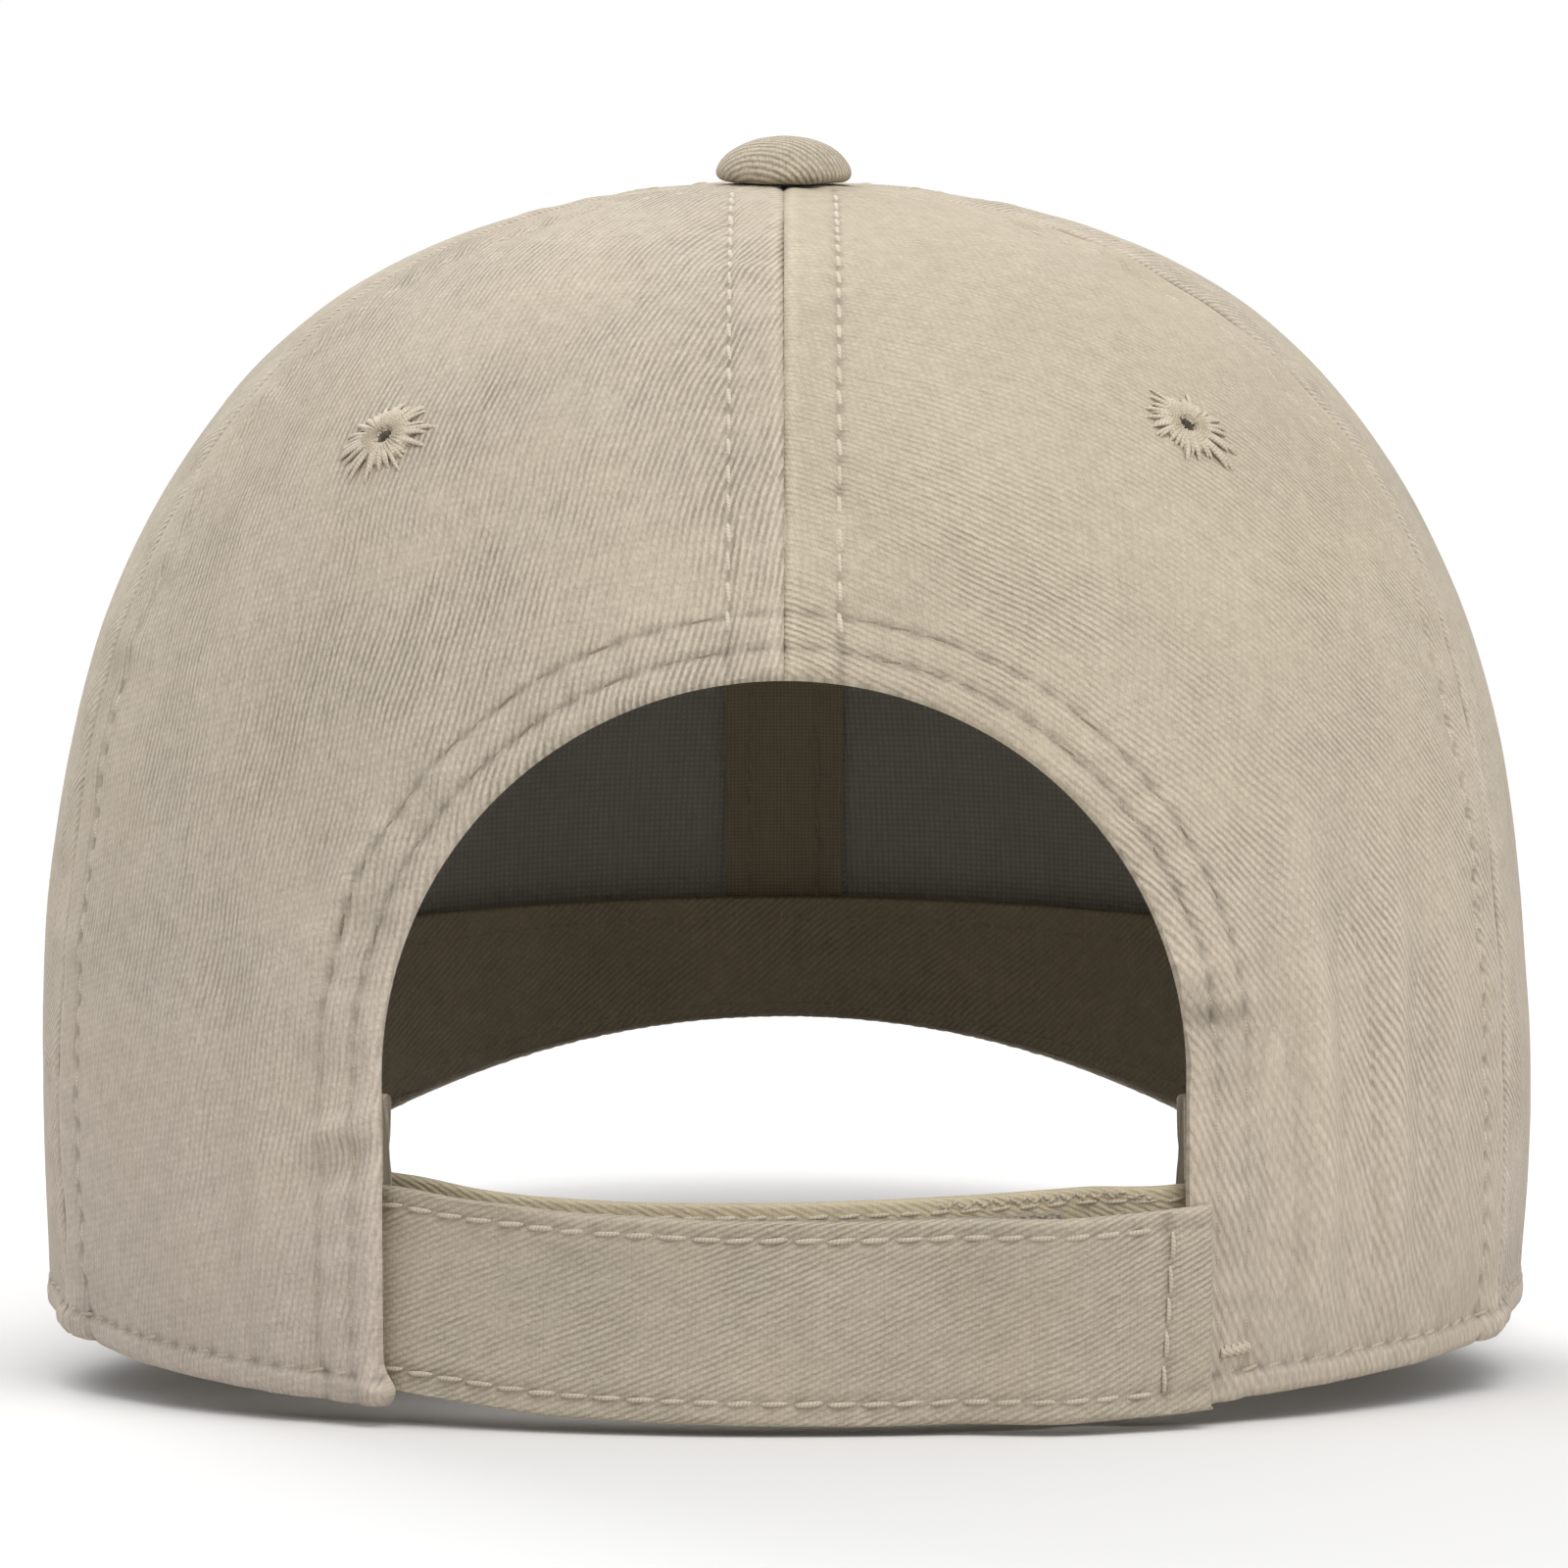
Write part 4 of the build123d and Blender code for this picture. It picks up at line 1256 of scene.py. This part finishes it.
def centre_tape(sewing):
    """One tape from the rear opening over the top of the crown to the visor."""
    stations = [(s, 0.0, 1) for s in np.arange(S_OPENING + 1.2, S_END, TAPE_STEP)]
    stations += [(s, A_END, -1) for s in np.arange(S_END, 5, -TAPE_STEP)]
    outer, inner, cloth = [], [], []
    for s, seam, sign in stations:
        offset = TAPE_ACROSS * sign
        at = np.full_like(offset, s)
        p, normal = tape_points(1, seam, at, offset, TAPE_OUTER)
        if seam > 1 and (p[:, 2] - visor_top(p[:, 0], p[:, 1])).min() < 0.2 and p[:, 1].max() < -10:
            break
        under, _ = tape_points(1, seam, at, offset, TAPE_INNER)
        outer.append(p)
        inner.append(under - normal * tape_relief(offset)[:, None])
        cloth.append(stack_with(TAPE_ACROSS, s * sign, 3.0))
    outer, inner, cloth = np.array(outer), np.array(inner), np.array(cloth)
    clear = np.hypot(outer[:, :, 0], outer[:, :, 1] - AXIS_Y).ravel() > 2.2
    faces = grid_faces(*outer.shape[:2])
    faces = faces[clear[faces].all(1)].tolist()
    ob = make_sheet("tape_center", outer, inner, faces, TAPE, cloth)
    fix_normals(ob, drop_loose=True)
    hand_over(ob, "tape", "seam_tape_center")
    # rear and front, one row at a time
    spans = ((0.0, S_OPENING + 3), (A_END, 24.0))
    for row in (-TAPE_ROW, TAPE_ROW):
        for seam, start in spans:
            s = np.arange(start, S_END - 9, 0.5)
            p, n = tape_points(1, seam, s, np.full_like(s, row), TAPE_STITCH)
            sewing.row(p, -n, pitch=3.3, length=2.7)


def binding():
    """Strip lining the edge of the rear opening."""
    leg = np.arange(4.4, OPENING_Z, 0.8)
    turn = np.radians(np.arange(0, 180.01, 1.0))
    outward_x = np.r_[np.full(len(leg), 1.0), np.cos(turn), np.full(len(leg), -1.0)]
    outward_z = np.r_[0 * leg, np.sin(turn), 0 * leg]
    base_z = np.r_[leg, np.full(len(turn), OPENING_Z), leg[::-1]]
    offset = np.linspace(0.25, 9.8, 17)
    x = outward_x[:, None] * (OPENING_R + offset)
    z = base_z[:, None] + outward_z[:, None] * (OPENING_R + offset)

    def layer(depth):
        r, height = ring(s_at_z(z, depth), depth)
        theta = np.arcsin(np.clip(np.abs(x) / r, 0, 1))
        return np.stack(
            [np.sign(x) * r * np.sin(theta), AXIS_Y + r * np.cos(theta), height], -1)

    along = np.r_[0, np.cumsum(np.hypot(np.diff(x[:, 8]), np.diff(z[:, 8])))]
    ob = make_sheet("opening_binding_strip", layer(1.05), layer(1.62),
                    grid_faces(*x.shape).tolist(), TAPE, stack_with(offset, along[:, None], 4.0))
    fix_normals(ob)
    hand_over(ob, "tape", "opening_binding")


tape_sewing = Stitches()
for side, hand in SIDES:
    side_tape(tape_sewing, side, hand, A_SIDE, "rear")
    side_tape(tape_sewing, side, hand, A_FRONT, "front")
centre_tape(tape_sewing)
binding()
hand_over(tape_sewing.build("tape_stitching", THREAD_CREAM), "thread")


# ------------------------------------------------------------------ sweatband
def sweatband():
    """Padded band inside the hem, from one side of the opening round the front to the other."""
    top_z, around_r, lift_off = 32.4, 79, 0.25
    row_heights = (26.5, 3.0)
    half = np.arange(arc_of(32.2), A_END + 1e-6, 0.9 / around_r)
    half[-1] = A_END
    run = np.r_[half, (2 * A_END - half[::-1])[1:]]
    side = np.where(run <= A_END, 1, -1)
    a = np.where(run <= A_END, run, 2 * A_END - run)
    # section as (share of height, depth): up the outer face, over the fold, down the inner face
    shares = np.linspace(0, 1, 26)
    fold = [(1.012, 4.75), (1.018, 5.25), (1.012, 5.75)]
    section = [(t, 4.45) for t in shares] + fold + [(t, 6.05) for t in shares[::-1]]
    points, cloth, shade = [], [], []
    for t, depth in section:
        # the band stands on the hem or on the visor's underside
        s = np.zeros_like(a)
        for _ in range(4):
            x, y, _z = crown(side, a, s, depth).T
            under = visor_top(x, y, VISOR_R - VISOR_THICK)
            low = np.maximum(np.where(y < -10, under, -9.0), 0.0) + lift_off
            s = s_at_z(low, depth)
        z = low + (top_z - low) * t
        p = crown(side, a, s_at_z(z, depth), depth)
        inner = depth > 5.25
        if inner:
            x, y = p[:, 0], p[:, 1] - AXIS_Y
            normal = np.stack([x, y / np.where(y > 0, 1, FRONT_STRETCH**2), 0 * x], -1)
            normal /= np.linalg.norm(normal, axis=1, keepdims=True)
            up = z - low
            lift = 0.45 * ease(up / 6) * ease((28 - up) / 8)
            lift += 0.16 * SWELL(run * 9, z / 9) + 0.10 * WAVER(run * 24, z / 5)
            for row in row_heights:
                lift -= 0.30 * bump(up - row, 0.9)
            p = p - normal * np.maximum(lift, -0.4)[:, None]
        points.append(p)
        cloth.append(stack_with(run * around_r, z + (0 if inner else 60), 8.0))
        # painted shade along the upper stitch row of the inner face
        shade.append(-0.4 * bump(z - low - row_heights[0], 0.6) if inner else np.zeros_like(z))
    points = np.array(points)
    ob = make_tube("sweatband", points, TWILL_BAND, np.array(cloth), np.array(shade))
    hand_over(ob, "twill", "sweatband_face", "sweatband_pad")
    sewing = Stitches()
    inner_rows = points[len(shares) + len(fold):]
    for row in row_heights:
        p = inner_rows[int(round((1 - row / 32) * 25))]
        n = np.stack([-p[:, 0], -(p[:, 1] - AXIS_Y), 0 * p[:, 0]], -1)
        n /= np.linalg.norm(n, axis=1, keepdims=True)
        sewing.row(p, n, pitch=3.3, length=2.7)
    hand_over(sewing.build("sweatband_stitching", THREAD_CREAM), "thread")


sweatband()

# ------------------------------------------------------------------ visor
# x and y of the visor's outer edge, from the left end to the middle; the right half mirrors it
HALF_EDGE = [
    (76.0, -36.5), (81.6, -52.0), (83.6, -70.0), (82.4, -90.0), (77.6, -112.0),
    (68.0, -133.0), (52.0, -151.5), (28.0, -165.5), (0.0, -170.0),
]
EDGE = np.array(HALF_EDGE + [(-x, y) for x, y in HALF_EDGE[::-1][1:]])
edge_x, edge_y, edge_stations = path_splines(EDGE)
ROW_GAP = 6.0
VISOR_ROWS = [3.2 + ROW_GAP * i for i in range(11)]  # stitch rows, by distance from the edge


def visor_edge(count):
    """Points of the visor's edge and unit vectors away from the visor."""
    t = np.linspace(0, edge_stations[-1], count)
    edge = np.stack([edge_x(t), edge_y(t)], -1)
    along = np.gradient(edge, axis=0)
    along /= np.linalg.norm(along, axis=1, keepdims=True)
    away = np.stack([-along[:, 1], along[:, 0]], -1)
    away *= np.sign((away * (edge - np.array([0, -90.0]))).sum(1))[:, None]
    return edge, away


def visor_layer(xy, radius, lift=0.0):
    """Points of the visor's layer of the given radius, over places in plan."""
    z = visor_top(xy[..., 0], xy[..., 1], radius) + lift
    return np.concatenate([xy, z[..., None]], -1)


def visor_plan(edge, rows=96):
    """Places in plan from the crown out to the edge, and their distance to the edge."""
    cols, depth = len(edge), 3.85
    start = math.radians(118.0)
    angle = np.linspace(start, 2 * math.pi - start, cols)
    z = np.full(cols, 5.0)
    for _ in range(5):
        r, _z = ring(s_at_z(np.clip(z, 0, 40), depth), depth)
        inner = np.stack([r * np.sin(angle), AXIS_Y + FRONT_STRETCH * r * np.cos(angle)], -1)
        z = visor_top(inner[:, 0], inner[:, 1])
    t = np.linspace(0, 1, rows)[:, None, None]
    plan = inner * (1 - t) + edge * t
    flat = plan.reshape(-1, 2)
    distance = np.full(len(flat), 1e9)
    corners = edge[::2]
    for a, b in zip(corners[:-1], corners[1:]):
        ab = b - a
        along = np.clip(((flat - a) @ ab) / (ab @ ab), 0, 1)
        distance = np.minimum(distance, np.hypot(*(flat - a - along[:, None] * ab).T))
    return plan, distance.reshape(rows, cols)


def visor_cloth(which, edge, away, plan, distance):
    """Top or under cover: quilted face, roll round the edge, lip, and back against the board."""
    top = which == "top"
    sign, seed, cloth_id = (1, 0, 21.0) if top else (-1, 40, 33.0)
    skin = VISOR_R if top else VISOR_R - VISOR_THICK
    skin_gap, back_gap = 0.12, 0.78
    x, y = plan[..., 0], plan[..., 1]
    height = 0.10 * SWELL(x / 22 + seed, y / 22) + 0.05 * WAVER(x / 5 + seed, y / 5)
    shade = np.zeros_like(height)
    for row in VISOR_ROWS:
        height -= 0.16 * bump(distance - row, 0.7)
        # painted shade along each stitch row
        shade -= 0.30 * bump(distance - row, 0.45)
    between = VISOR_ROWS[0] + ROW_GAP / 2
    height += 0.05 * np.cos(2 * math.pi * (distance - between) / ROW_GAP)
    up = np.stack([x / VISOR_R, 0 * x, np.sqrt(np.maximum(1 - (x / VISOR_R) ** 2, 0))], -1)
    face = visor_layer(plan, skin - sign * skin_gap) + up * (sign * height)[..., None]
    # the face ends a little inside the edge, where the roll starts
    face[-1] = visor_layer(edge - away * 0.9, skin, -sign * skin_gap)
    roll = []
    for turn in np.arange(1, 7) / 6 * math.pi / 2:
        drop = skin_gap + (VISOR_THICK / 2 - 0.16) * (1 - math.cos(turn))
        roll.append(visor_layer(edge + away * (-0.9 + 0.9 * math.sin(turn)), skin, -sign * drop))
    tucked = edge - away * 1.5
    lip = visor_layer(tucked, VISOR_R - VISOR_THICK / 2, sign * 0.05)
    back = visor_layer(plan, skin - sign * back_gap)
    back[-1] = visor_layer(tucked, skin - sign * back_gap)
    points = np.concatenate([face, roll, lip[None], back[::-1]], 0)
    # the cloth slides on round the roll, which has a faint painted highlight and then painted
    # shade, darkest at the tucked lip
    flat = np.zeros(len(plan))
    slide = np.r_[flat, -0.5 * np.arange(1, 7), -4.0, flat][:, None]
    edge_shade = np.array([0.05] * 4 + [-0.45] * 2 + [-1.0])
    edge_shade = np.repeat(edge_shade[:, None], len(edge), 1)
    cloth = stack_with(points[..., 0], points[..., 1] + slide, cloth_id)
    ob = make_tube(f"visor_{which}_cloth", points, TWILL_VISOR, cloth,
                   np.concatenate([shade, edge_shade, 0 * shade], 0))
    hand_over(ob, "twill", f"visor_{which}_cover")


def visor_stitching():
    """Rows parallel to the visor's edge, on both faces."""
    sewing = Stitches()
    edge, away = visor_edge(1400)
    for row in VISOR_ROWS:
        line = edge - away * row
        from_axis = np.hypot(line[:, 0], (line[:, 1] - AXIS_Y) / FRONT_STRETCH)
        # where the offset has folded over itself, it comes nearer to the edge than the row
        gaps = line[:, None] - edge[None, ::4]
        nearest = np.min(np.hypot(gaps[..., 0], gaps[..., 1]), axis=1)
        sewn = (from_axis > 85.9) & (line[:, 1] < -30) & (nearest > row - 0.4)
        index = np.where(sewn)[0]
        for run in np.split(index, np.where(np.diff(index) > 1)[0] + 1):
            if len(run) < 12:
                continue
            part = line[run]
            x = part[:, 0] / VISOR_R
            n = np.stack([x, 0 * x, np.sqrt(1 - x**2)], -1)
            for sign, radius in ((1, VISOR_R), (-1, VISOR_R - VISOR_THICK)):
                sewing.row(visor_layer(part, radius, -sign * 0.20), n * sign,
                           pitch=3.4, length=2.8)
    hand_over(sewing.build("visor_stitching", THREAD_KHAKI), "thread")


def visor():
    edge, away = visor_edge(420)
    plan, distance = visor_plan(edge)
    for which in ("top", "under"):
        visor_cloth(which, edge, away, plan, distance)
    visor_stitching()


visor()

# ------------------------------------------------------------------ strap closure
# Angles are in degrees from the rear, positive toward +X.
STRAP_THICK, UNDER_THICK = 1.25, 1.15
STRAP_PITCH = 3.6
# distance of the outer strap's stitch rows from its top and bottom edges, and from its free end
STRAP_TOP_ROW, STRAP_BOTTOM_ROW, STRAP_END_ROW = 2.0, 2.5, 5.7
UNDER_DROP = 2 * 1.1 + 0.3 + 1.2  # the under strap lies this much nearer to the axis


class Strip:
    """An upright strip whose path, bottom and top are functions of the angle from the rear."""

    def __init__(self, radius, start, end, bottom, top, step_mm=0.5):
        self.step = step_mm
        self.direction = 1 if start > end else -1
        count = int(abs(end - start) * math.radians(1) * 84 / step_mm)
        self.deg = np.linspace(start, end, count)
        r, t = radius(self.deg), np.radians(self.deg)
        self.path = np.stack([r * np.sin(t), AXIS_Y + r * np.cos(t)], -1)
        along = np.gradient(self.path, axis=0)
        self.along = along / np.hypot(*along.T)[:, None]
        out = np.stack([self.along[:, 1], -self.along[:, 0]], -1)
        self.out = out * np.sign((out * (self.path - np.array([0, AXIS_Y]))).sum(1))[:, None]
        self.length = np.r_[0, np.cumsum(np.hypot(*np.diff(self.path, axis=0).T))]
        self.bottom, self.top = bottom(self.deg), top(self.deg)

    def build(self, name, thick, material, cloth_id, edge=0.55, relief=None):
        """Outer face up, fold over the top, inner face down, fold under the bottom."""
        fold = min(edge, thick / 2)
        shares = np.linspace(0, 1, int(round(22 / self.step)))
        turns = np.linspace(0, math.pi, 7)[1:-1]
        count = len(self.deg)
        points, cloth, shade = [], [], []

        def add(offset, z, v, tone):
            points.append(np.column_stack([self.path + self.out * offset[:, None], z]))
            cloth.append(stack_with(self.length * self.direction, v, cloth_id))
            shade.append(tone)

        def add_face(offset, share, shape=None):
            z = self.bottom + fold + (self.top - self.bottom - 2 * fold) * share
            height, tone = np.zeros(count), np.zeros(count)
            if shape:
                height, tone = shape(self.length, z - self.bottom, self.top - z)
            add(offset + height, z, z, tone)

        def add_fold(edge_z, sign, turn):
            z = edge_z - sign * fold + sign * math.sin(turn) * fold
            out = sign * math.cos(turn)
            offset = np.full(count, thick / 2 + out * thick / 2)
            # a faint painted highlight on the folded edges
            add(offset, z, z + sign * 0.5 * (1 - out), np.full(count, 0.10))

        for share in shares:
            add_face(thick, share, relief)
        for turn in turns:
            add_fold(self.top, 1, turn)
        for share in shares[::-1]:
            add_face(0.0, share)
        for turn in turns:
            add_fold(self.bottom, -1, turn)
        return make_tube(name, np.array(points), material, np.array(cloth), np.array(shade))

    def sew(self, sewing, offset, z, mask, **options):
        """A row of stitches at heights z along the masked part."""
        p = np.column_stack([self.path + self.out * offset, z])[mask]
        n = np.column_stack([self.out, 0 * self.length])[mask]
        sewing.row(p, n, **options)


def outer_radius(deg):
    return 81.1 + 4.4 * ease((-12.0 - deg) / 9.0) + 0.25 * ease((-17.0 - deg) / 5.5)


def under_radius(deg):
    return 81.1 - UNDER_DROP * ease((deg + 29.9) / 6.0) - 1.4 * ease((deg - 23.0) / 7.5)


def outer_sag(deg):
    """How the outer strap hangs: high where it leaves the left panel, low in the middle."""
    return np.interp(
        deg, [-34, -24, -10, 4, 18, 30, 42], [-0.45, -0.75, -0.95, -0.95, -0.35, 0.95, 1.2])


def outer_top(deg):
    return 22.45 + outer_sag(deg) + 0.12 * RIPPLE(deg / 5.0, 2.0)


def outer_bottom(deg):
    return 0.35 + outer_sag(deg) * 0.95 + 0.10 * RIPPLE(deg / 6.0, 8.0)


def under_top(deg):
    return 23.3 + np.interp(
        deg, [-42, -30, -20, 0, 12, 20, 26, 31, 34],
        [0.3, 0.35, 0.15, -0.42, -0.62, -0.45, 0.0, 0.55, 0.7])


def strap_relief(length, up, down):
    """Soft waves, dimpled stitch rows and a padded free end."""
    height = 0.20 * SWELL(length / 13, up / 11) + 0.08 * WAVER(length / 3.5, up / 4)
    shade = np.zeros(len(length))
    dimple = dimples(length, STRAP_PITCH)
    for row in (down - STRAP_TOP_ROW, up - STRAP_BOTTOM_ROW):
        height = height - (0.10 + 0.14 * dimple) * bump(row, 0.6) + 0.06 * bump(row - 1.3, 1.0)
        # painted shade along the stitch rows, darker between stitches
        shade = shade - (0.25 + 0.3 * dimple) * bump(row, 0.5)
    to_end = length[-1] - length
    height = height - 0.25 * bump(to_end - STRAP_END_ROW, 0.6)
    # painted shade along the row across the free end
    shade = shade - 0.5 * bump(to_end - STRAP_END_ROW, 0.5)
    height = height + 0.16 * ease((5.0 - to_end) / 2.0) - 0.5 * ease((0.6 - to_end) / 0.6)
    return height, shade


def outer_strap():
    """The strap from the left panel to its free end on the right, with its hook tape."""
    strip = Strip(lambda deg: outer_radius(deg) + 0.05, 42.0, -31.8, outer_bottom, outer_top)
    ob = strip.build("strap_outer", STRAP_THICK, TWILL_STRAP, cloth_id=71.0, relief=strap_relief)
    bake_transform(ob)
    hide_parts("strap_root", "strap_flap")

    sewing = Stitches()
    look = dict(pitch=STRAP_PITCH, length=3.05, radius=0.25, lift=0.26)
    to_end = strip.length[-1] - strip.length
    for z in (strip.top - STRAP_TOP_ROW, strip.bottom + STRAP_BOTTOM_ROW):
        strip.sew(sewing, STRAP_THICK, z, to_end < 4.6 if False else ~(to_end <= 4.6), **look)
    # leaning row across the free end
    i = int(np.argmin(np.abs(to_end - STRAP_END_ROW)))
    z = np.arange(strip.bottom[i] + 2.2, strip.top[i] - 1.2, 0.4)
    lean = (z - z.mean()) * -0.07
    plan = strip.path[i] + strip.out[i] * STRAP_THICK - strip.along[i] * lean[:, None]
    normal = np.array([[*strip.out[i], 0.0]])
    sewing.row(np.column_stack([plan, z]), np.repeat(normal, len(z), 0), **look)
    ob = sewing.build("strap_stitching", THREAD_CREAM)
    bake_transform(ob)

    hooks = Strip(
        lambda deg: outer_radius(deg) - 1.15, 7.6, -20.3,
        lambda deg: 2.3 + outer_sag(deg), lambda deg: 20.6 + outer_sag(deg), step_mm=0.8)
    ob = hooks.build("hook_tape_strip", 1.0, HOOK_TAPE, cloth_id=5.0, edge=0.3)
    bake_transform(ob)
    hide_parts("hook_tape")


def under_strap():
    """The strap from the right panel that lies under the outer one, with its loop tape."""
    strip = Strip(under_radius, -42.0, 36.2, lambda deg: 0.7 + 0 * deg, under_top)
    ob = strip.build("strap_under", UNDER_THICK, TWILL_UNDER, cloth_id=91.0)
    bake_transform(ob)
    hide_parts("under_strap_root", "under_strap")

    sewing = Stitches()
    for z in (strip.top - 1.6, strip.bottom + 1.6):
        strip.sew(sewing, UNDER_THICK, z, strip.deg > -41, pitch=3.3, length=2.6, radius=0.2)
    # short zigzag along the top edge, near the right panel
    zigzag = strip.top - 0.9 + 0.45 * np.sign(np.sin(strip.length * 2 * math.pi / 1.9))
    strip.sew(sewing, UNDER_THICK, zigzag, (strip.deg > -29) & (strip.deg < -12),
              pitch=1.0, length=0.95, radius=0.16, lift=0.25)
    ob = sewing.build("under_strap_stitching", THREAD_CREAM)
    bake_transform(ob)

    loops = Strip(
        lambda deg: under_radius(deg) + 1.3, -22.0, 29.8,
        lambda deg: 2.4 + 0 * deg, lambda deg: 21.2 + 0 * deg, step_mm=0.8)
    ob = loops.build("loop_tape_strip", 1.0, LOOP_TAPE, cloth_id=6.0, edge=0.3)
    hand_over(ob, "hook", "loop_tape", part="under_strap")


outer_strap()
under_strap()


# ------------------------------------------------------------------ blank care label
def care_label():
    theta, z = np.meshgrid(
        np.radians(np.linspace(-62, -42, 40)), np.linspace(4.2, 27.8, 44), indexing="ij")
    inner = 77.55 - 0.12 * SWELL(theta * 12, z / 8) ** 2
    layers = [
        np.stack([r * np.sin(theta), AXIS_Y + r * np.cos(theta), z], -1)
        for r in (inner, inner + 0.22)
    ]
    ob = make_sheet("label_blank", *layers, grid_faces(*z.shape).tolist(), LABEL,
                    stack_with(theta * 78, z, 0.0))
    fix_normals(ob)
    hand_over(ob, "label", "care_label")


care_label()

# ------------------------------------------------------------------ CAD parts that stay
STEEL = hard("pressed_steel", color=(0.62, 0.61, 0.59), metallic=1.0, roughness=0.32)
BOARD = hard("board_plastic", color=(0.82, 0.82, 0.79), metallic=0.0, roughness=0.5)
for node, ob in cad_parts.items():
    ob.data.materials.clear()
    ob.data.materials.append(BOARD if node == "visor_board" else STEEL)

# ------------------------------------------------------------------ stage, in metres
# y and z along the floor: it slopes a little under the cap, so that the rear hem and the
# drooping ends of the visor both touch it
FLOOR_LINE = (
    (-4.0, -0.0176), (-0.5, -0.0176), (-0.12, -0.0176), (-0.09, -0.0175), (-0.075, -0.0172),
    (-0.05, -0.0152), (0.0, -0.0104), (0.06, -0.0047), (0.085, -0.0025), (0.10, -0.0014),
    (0.12, -0.0010), (0.5, -0.0010), (4.0, -0.0010),
)
WHITE, BACKDROP = (1, 1, 1), 1.02  # colour and brightness of the background in view


def floor_material():
    """Pale floor that fades into the white background; other rays meet a plain grey one."""
    g = MaterialNet("pale_floor")
    g.look(color=(0.95, 0.95, 0.95), roughness=0.95, specular=0.1)
    glow = g.out("Emission", {0: WHITE, 1: BACKDROP})
    grey = g.out("BsdfDiffuse", {0: (0.60, 0.59, 0.57)})
    place = g.out("TexCoord", output="Object")
    distance = g.out("VectorMath", {0: place}, output="Value", operation="LENGTH")
    visible = g.out("MixShader", {0: g.ramp(distance, 0.17, 0.42), 1: g.shader, 2: glow})
    camera_ray = g.out("LightPath", output="Is Camera Ray")
    g.put(g.output, "Surface", g.out("MixShader", {0: camera_ray, 1: grey, 2: visible}))
    return g.material


def make_floor():
    mesh = bpy.data.meshes.new("floor")
    points = [(x, y, z) for y, z in FLOOR_LINE for x in (-4.0, 4.0)]
    faces = [(2 * i, 2 * i + 1, 2 * i + 3, 2 * i + 2) for i in range(len(FLOOR_LINE) - 1)]
    mesh.from_pydata(points, [], faces)
    for polygon in mesh.polygons:
        polygon.use_smooth = True
    floor = bpy.data.objects.new("floor", mesh)
    bpy.context.scene.collection.objects.link(floor)
    mesh.materials.append(floor_material())


def make_world():
    """White studio: brighter overhead, and even where the camera sees it."""
    world = bpy.data.worlds.new("studio")
    bpy.context.scene.world = world
    world.use_nodes = True
    g = Net(world.node_tree)
    background = g.tree.nodes["Background"]
    up = g.split(g.out("TexCoord", output="Generated"))[2]
    sky = g.ramp(up, -0.1, 1.0, 0.36, 0.87)
    camera_ray = g.out("LightPath", output="Is Camera Ray")
    g.put(background, 0, WHITE)
    g.put(background, 1, g.out("Mix", {0: camera_ray, 2: sky, 3: BACKDROP}))


def place_facing(name, data, location, target):
    """Links a light or camera at a location, facing the target."""
    ob = bpy.data.objects.new(name, data)
    bpy.context.scene.collection.objects.link(ob)
    ob.location = location
    turn = (Vector(target) - Vector(location)).to_track_quat("-Z", "Y")
    ob.rotation_euler = turn.to_euler()
    return ob


def area_light(name, location, target, size, power, color=WHITE):
    light = bpy.data.lights.new(name, "AREA")
    light.shape = "RECTANGLE"
    light.size = light.size_y = size
    light.energy = power
    light.color = color
    place_facing(name, light, location, target)


def make_camera():
    """Long lens behind the cap, a little above it."""
    data = bpy.data.cameras.new("camera")
    data.sensor_width = 36.0
    data.lens = 200.58075
    data.clip_start, data.clip_end = 0.05, 20.0
    elevation = math.radians(6.34)
    target = Vector((0, 0.015, 0.0589))
    location = target + Vector((0, math.cos(elevation), math.sin(elevation)))
    bpy.context.scene.camera = place_facing("camera", data, location, target)


make_floor()
make_world()
bpy.context.scene.view_settings.view_transform = "Standard"
area_light("key_top", location=(-0.30, 0.58, 1.28), target=(0, 0.02, 0.06), size=0.9, power=6.3,
           color=(1.0, 0.99, 0.97))
area_light("fill_rear", location=(-0.75, 1.30, 0.40), target=(0, 0.02, 0.06), size=0.6, power=1.5)
area_light("fill_front", location=(0.55, -1.15, 0.95), target=(0, 0, 0.05), size=0.7, power=9.0)
make_camera()
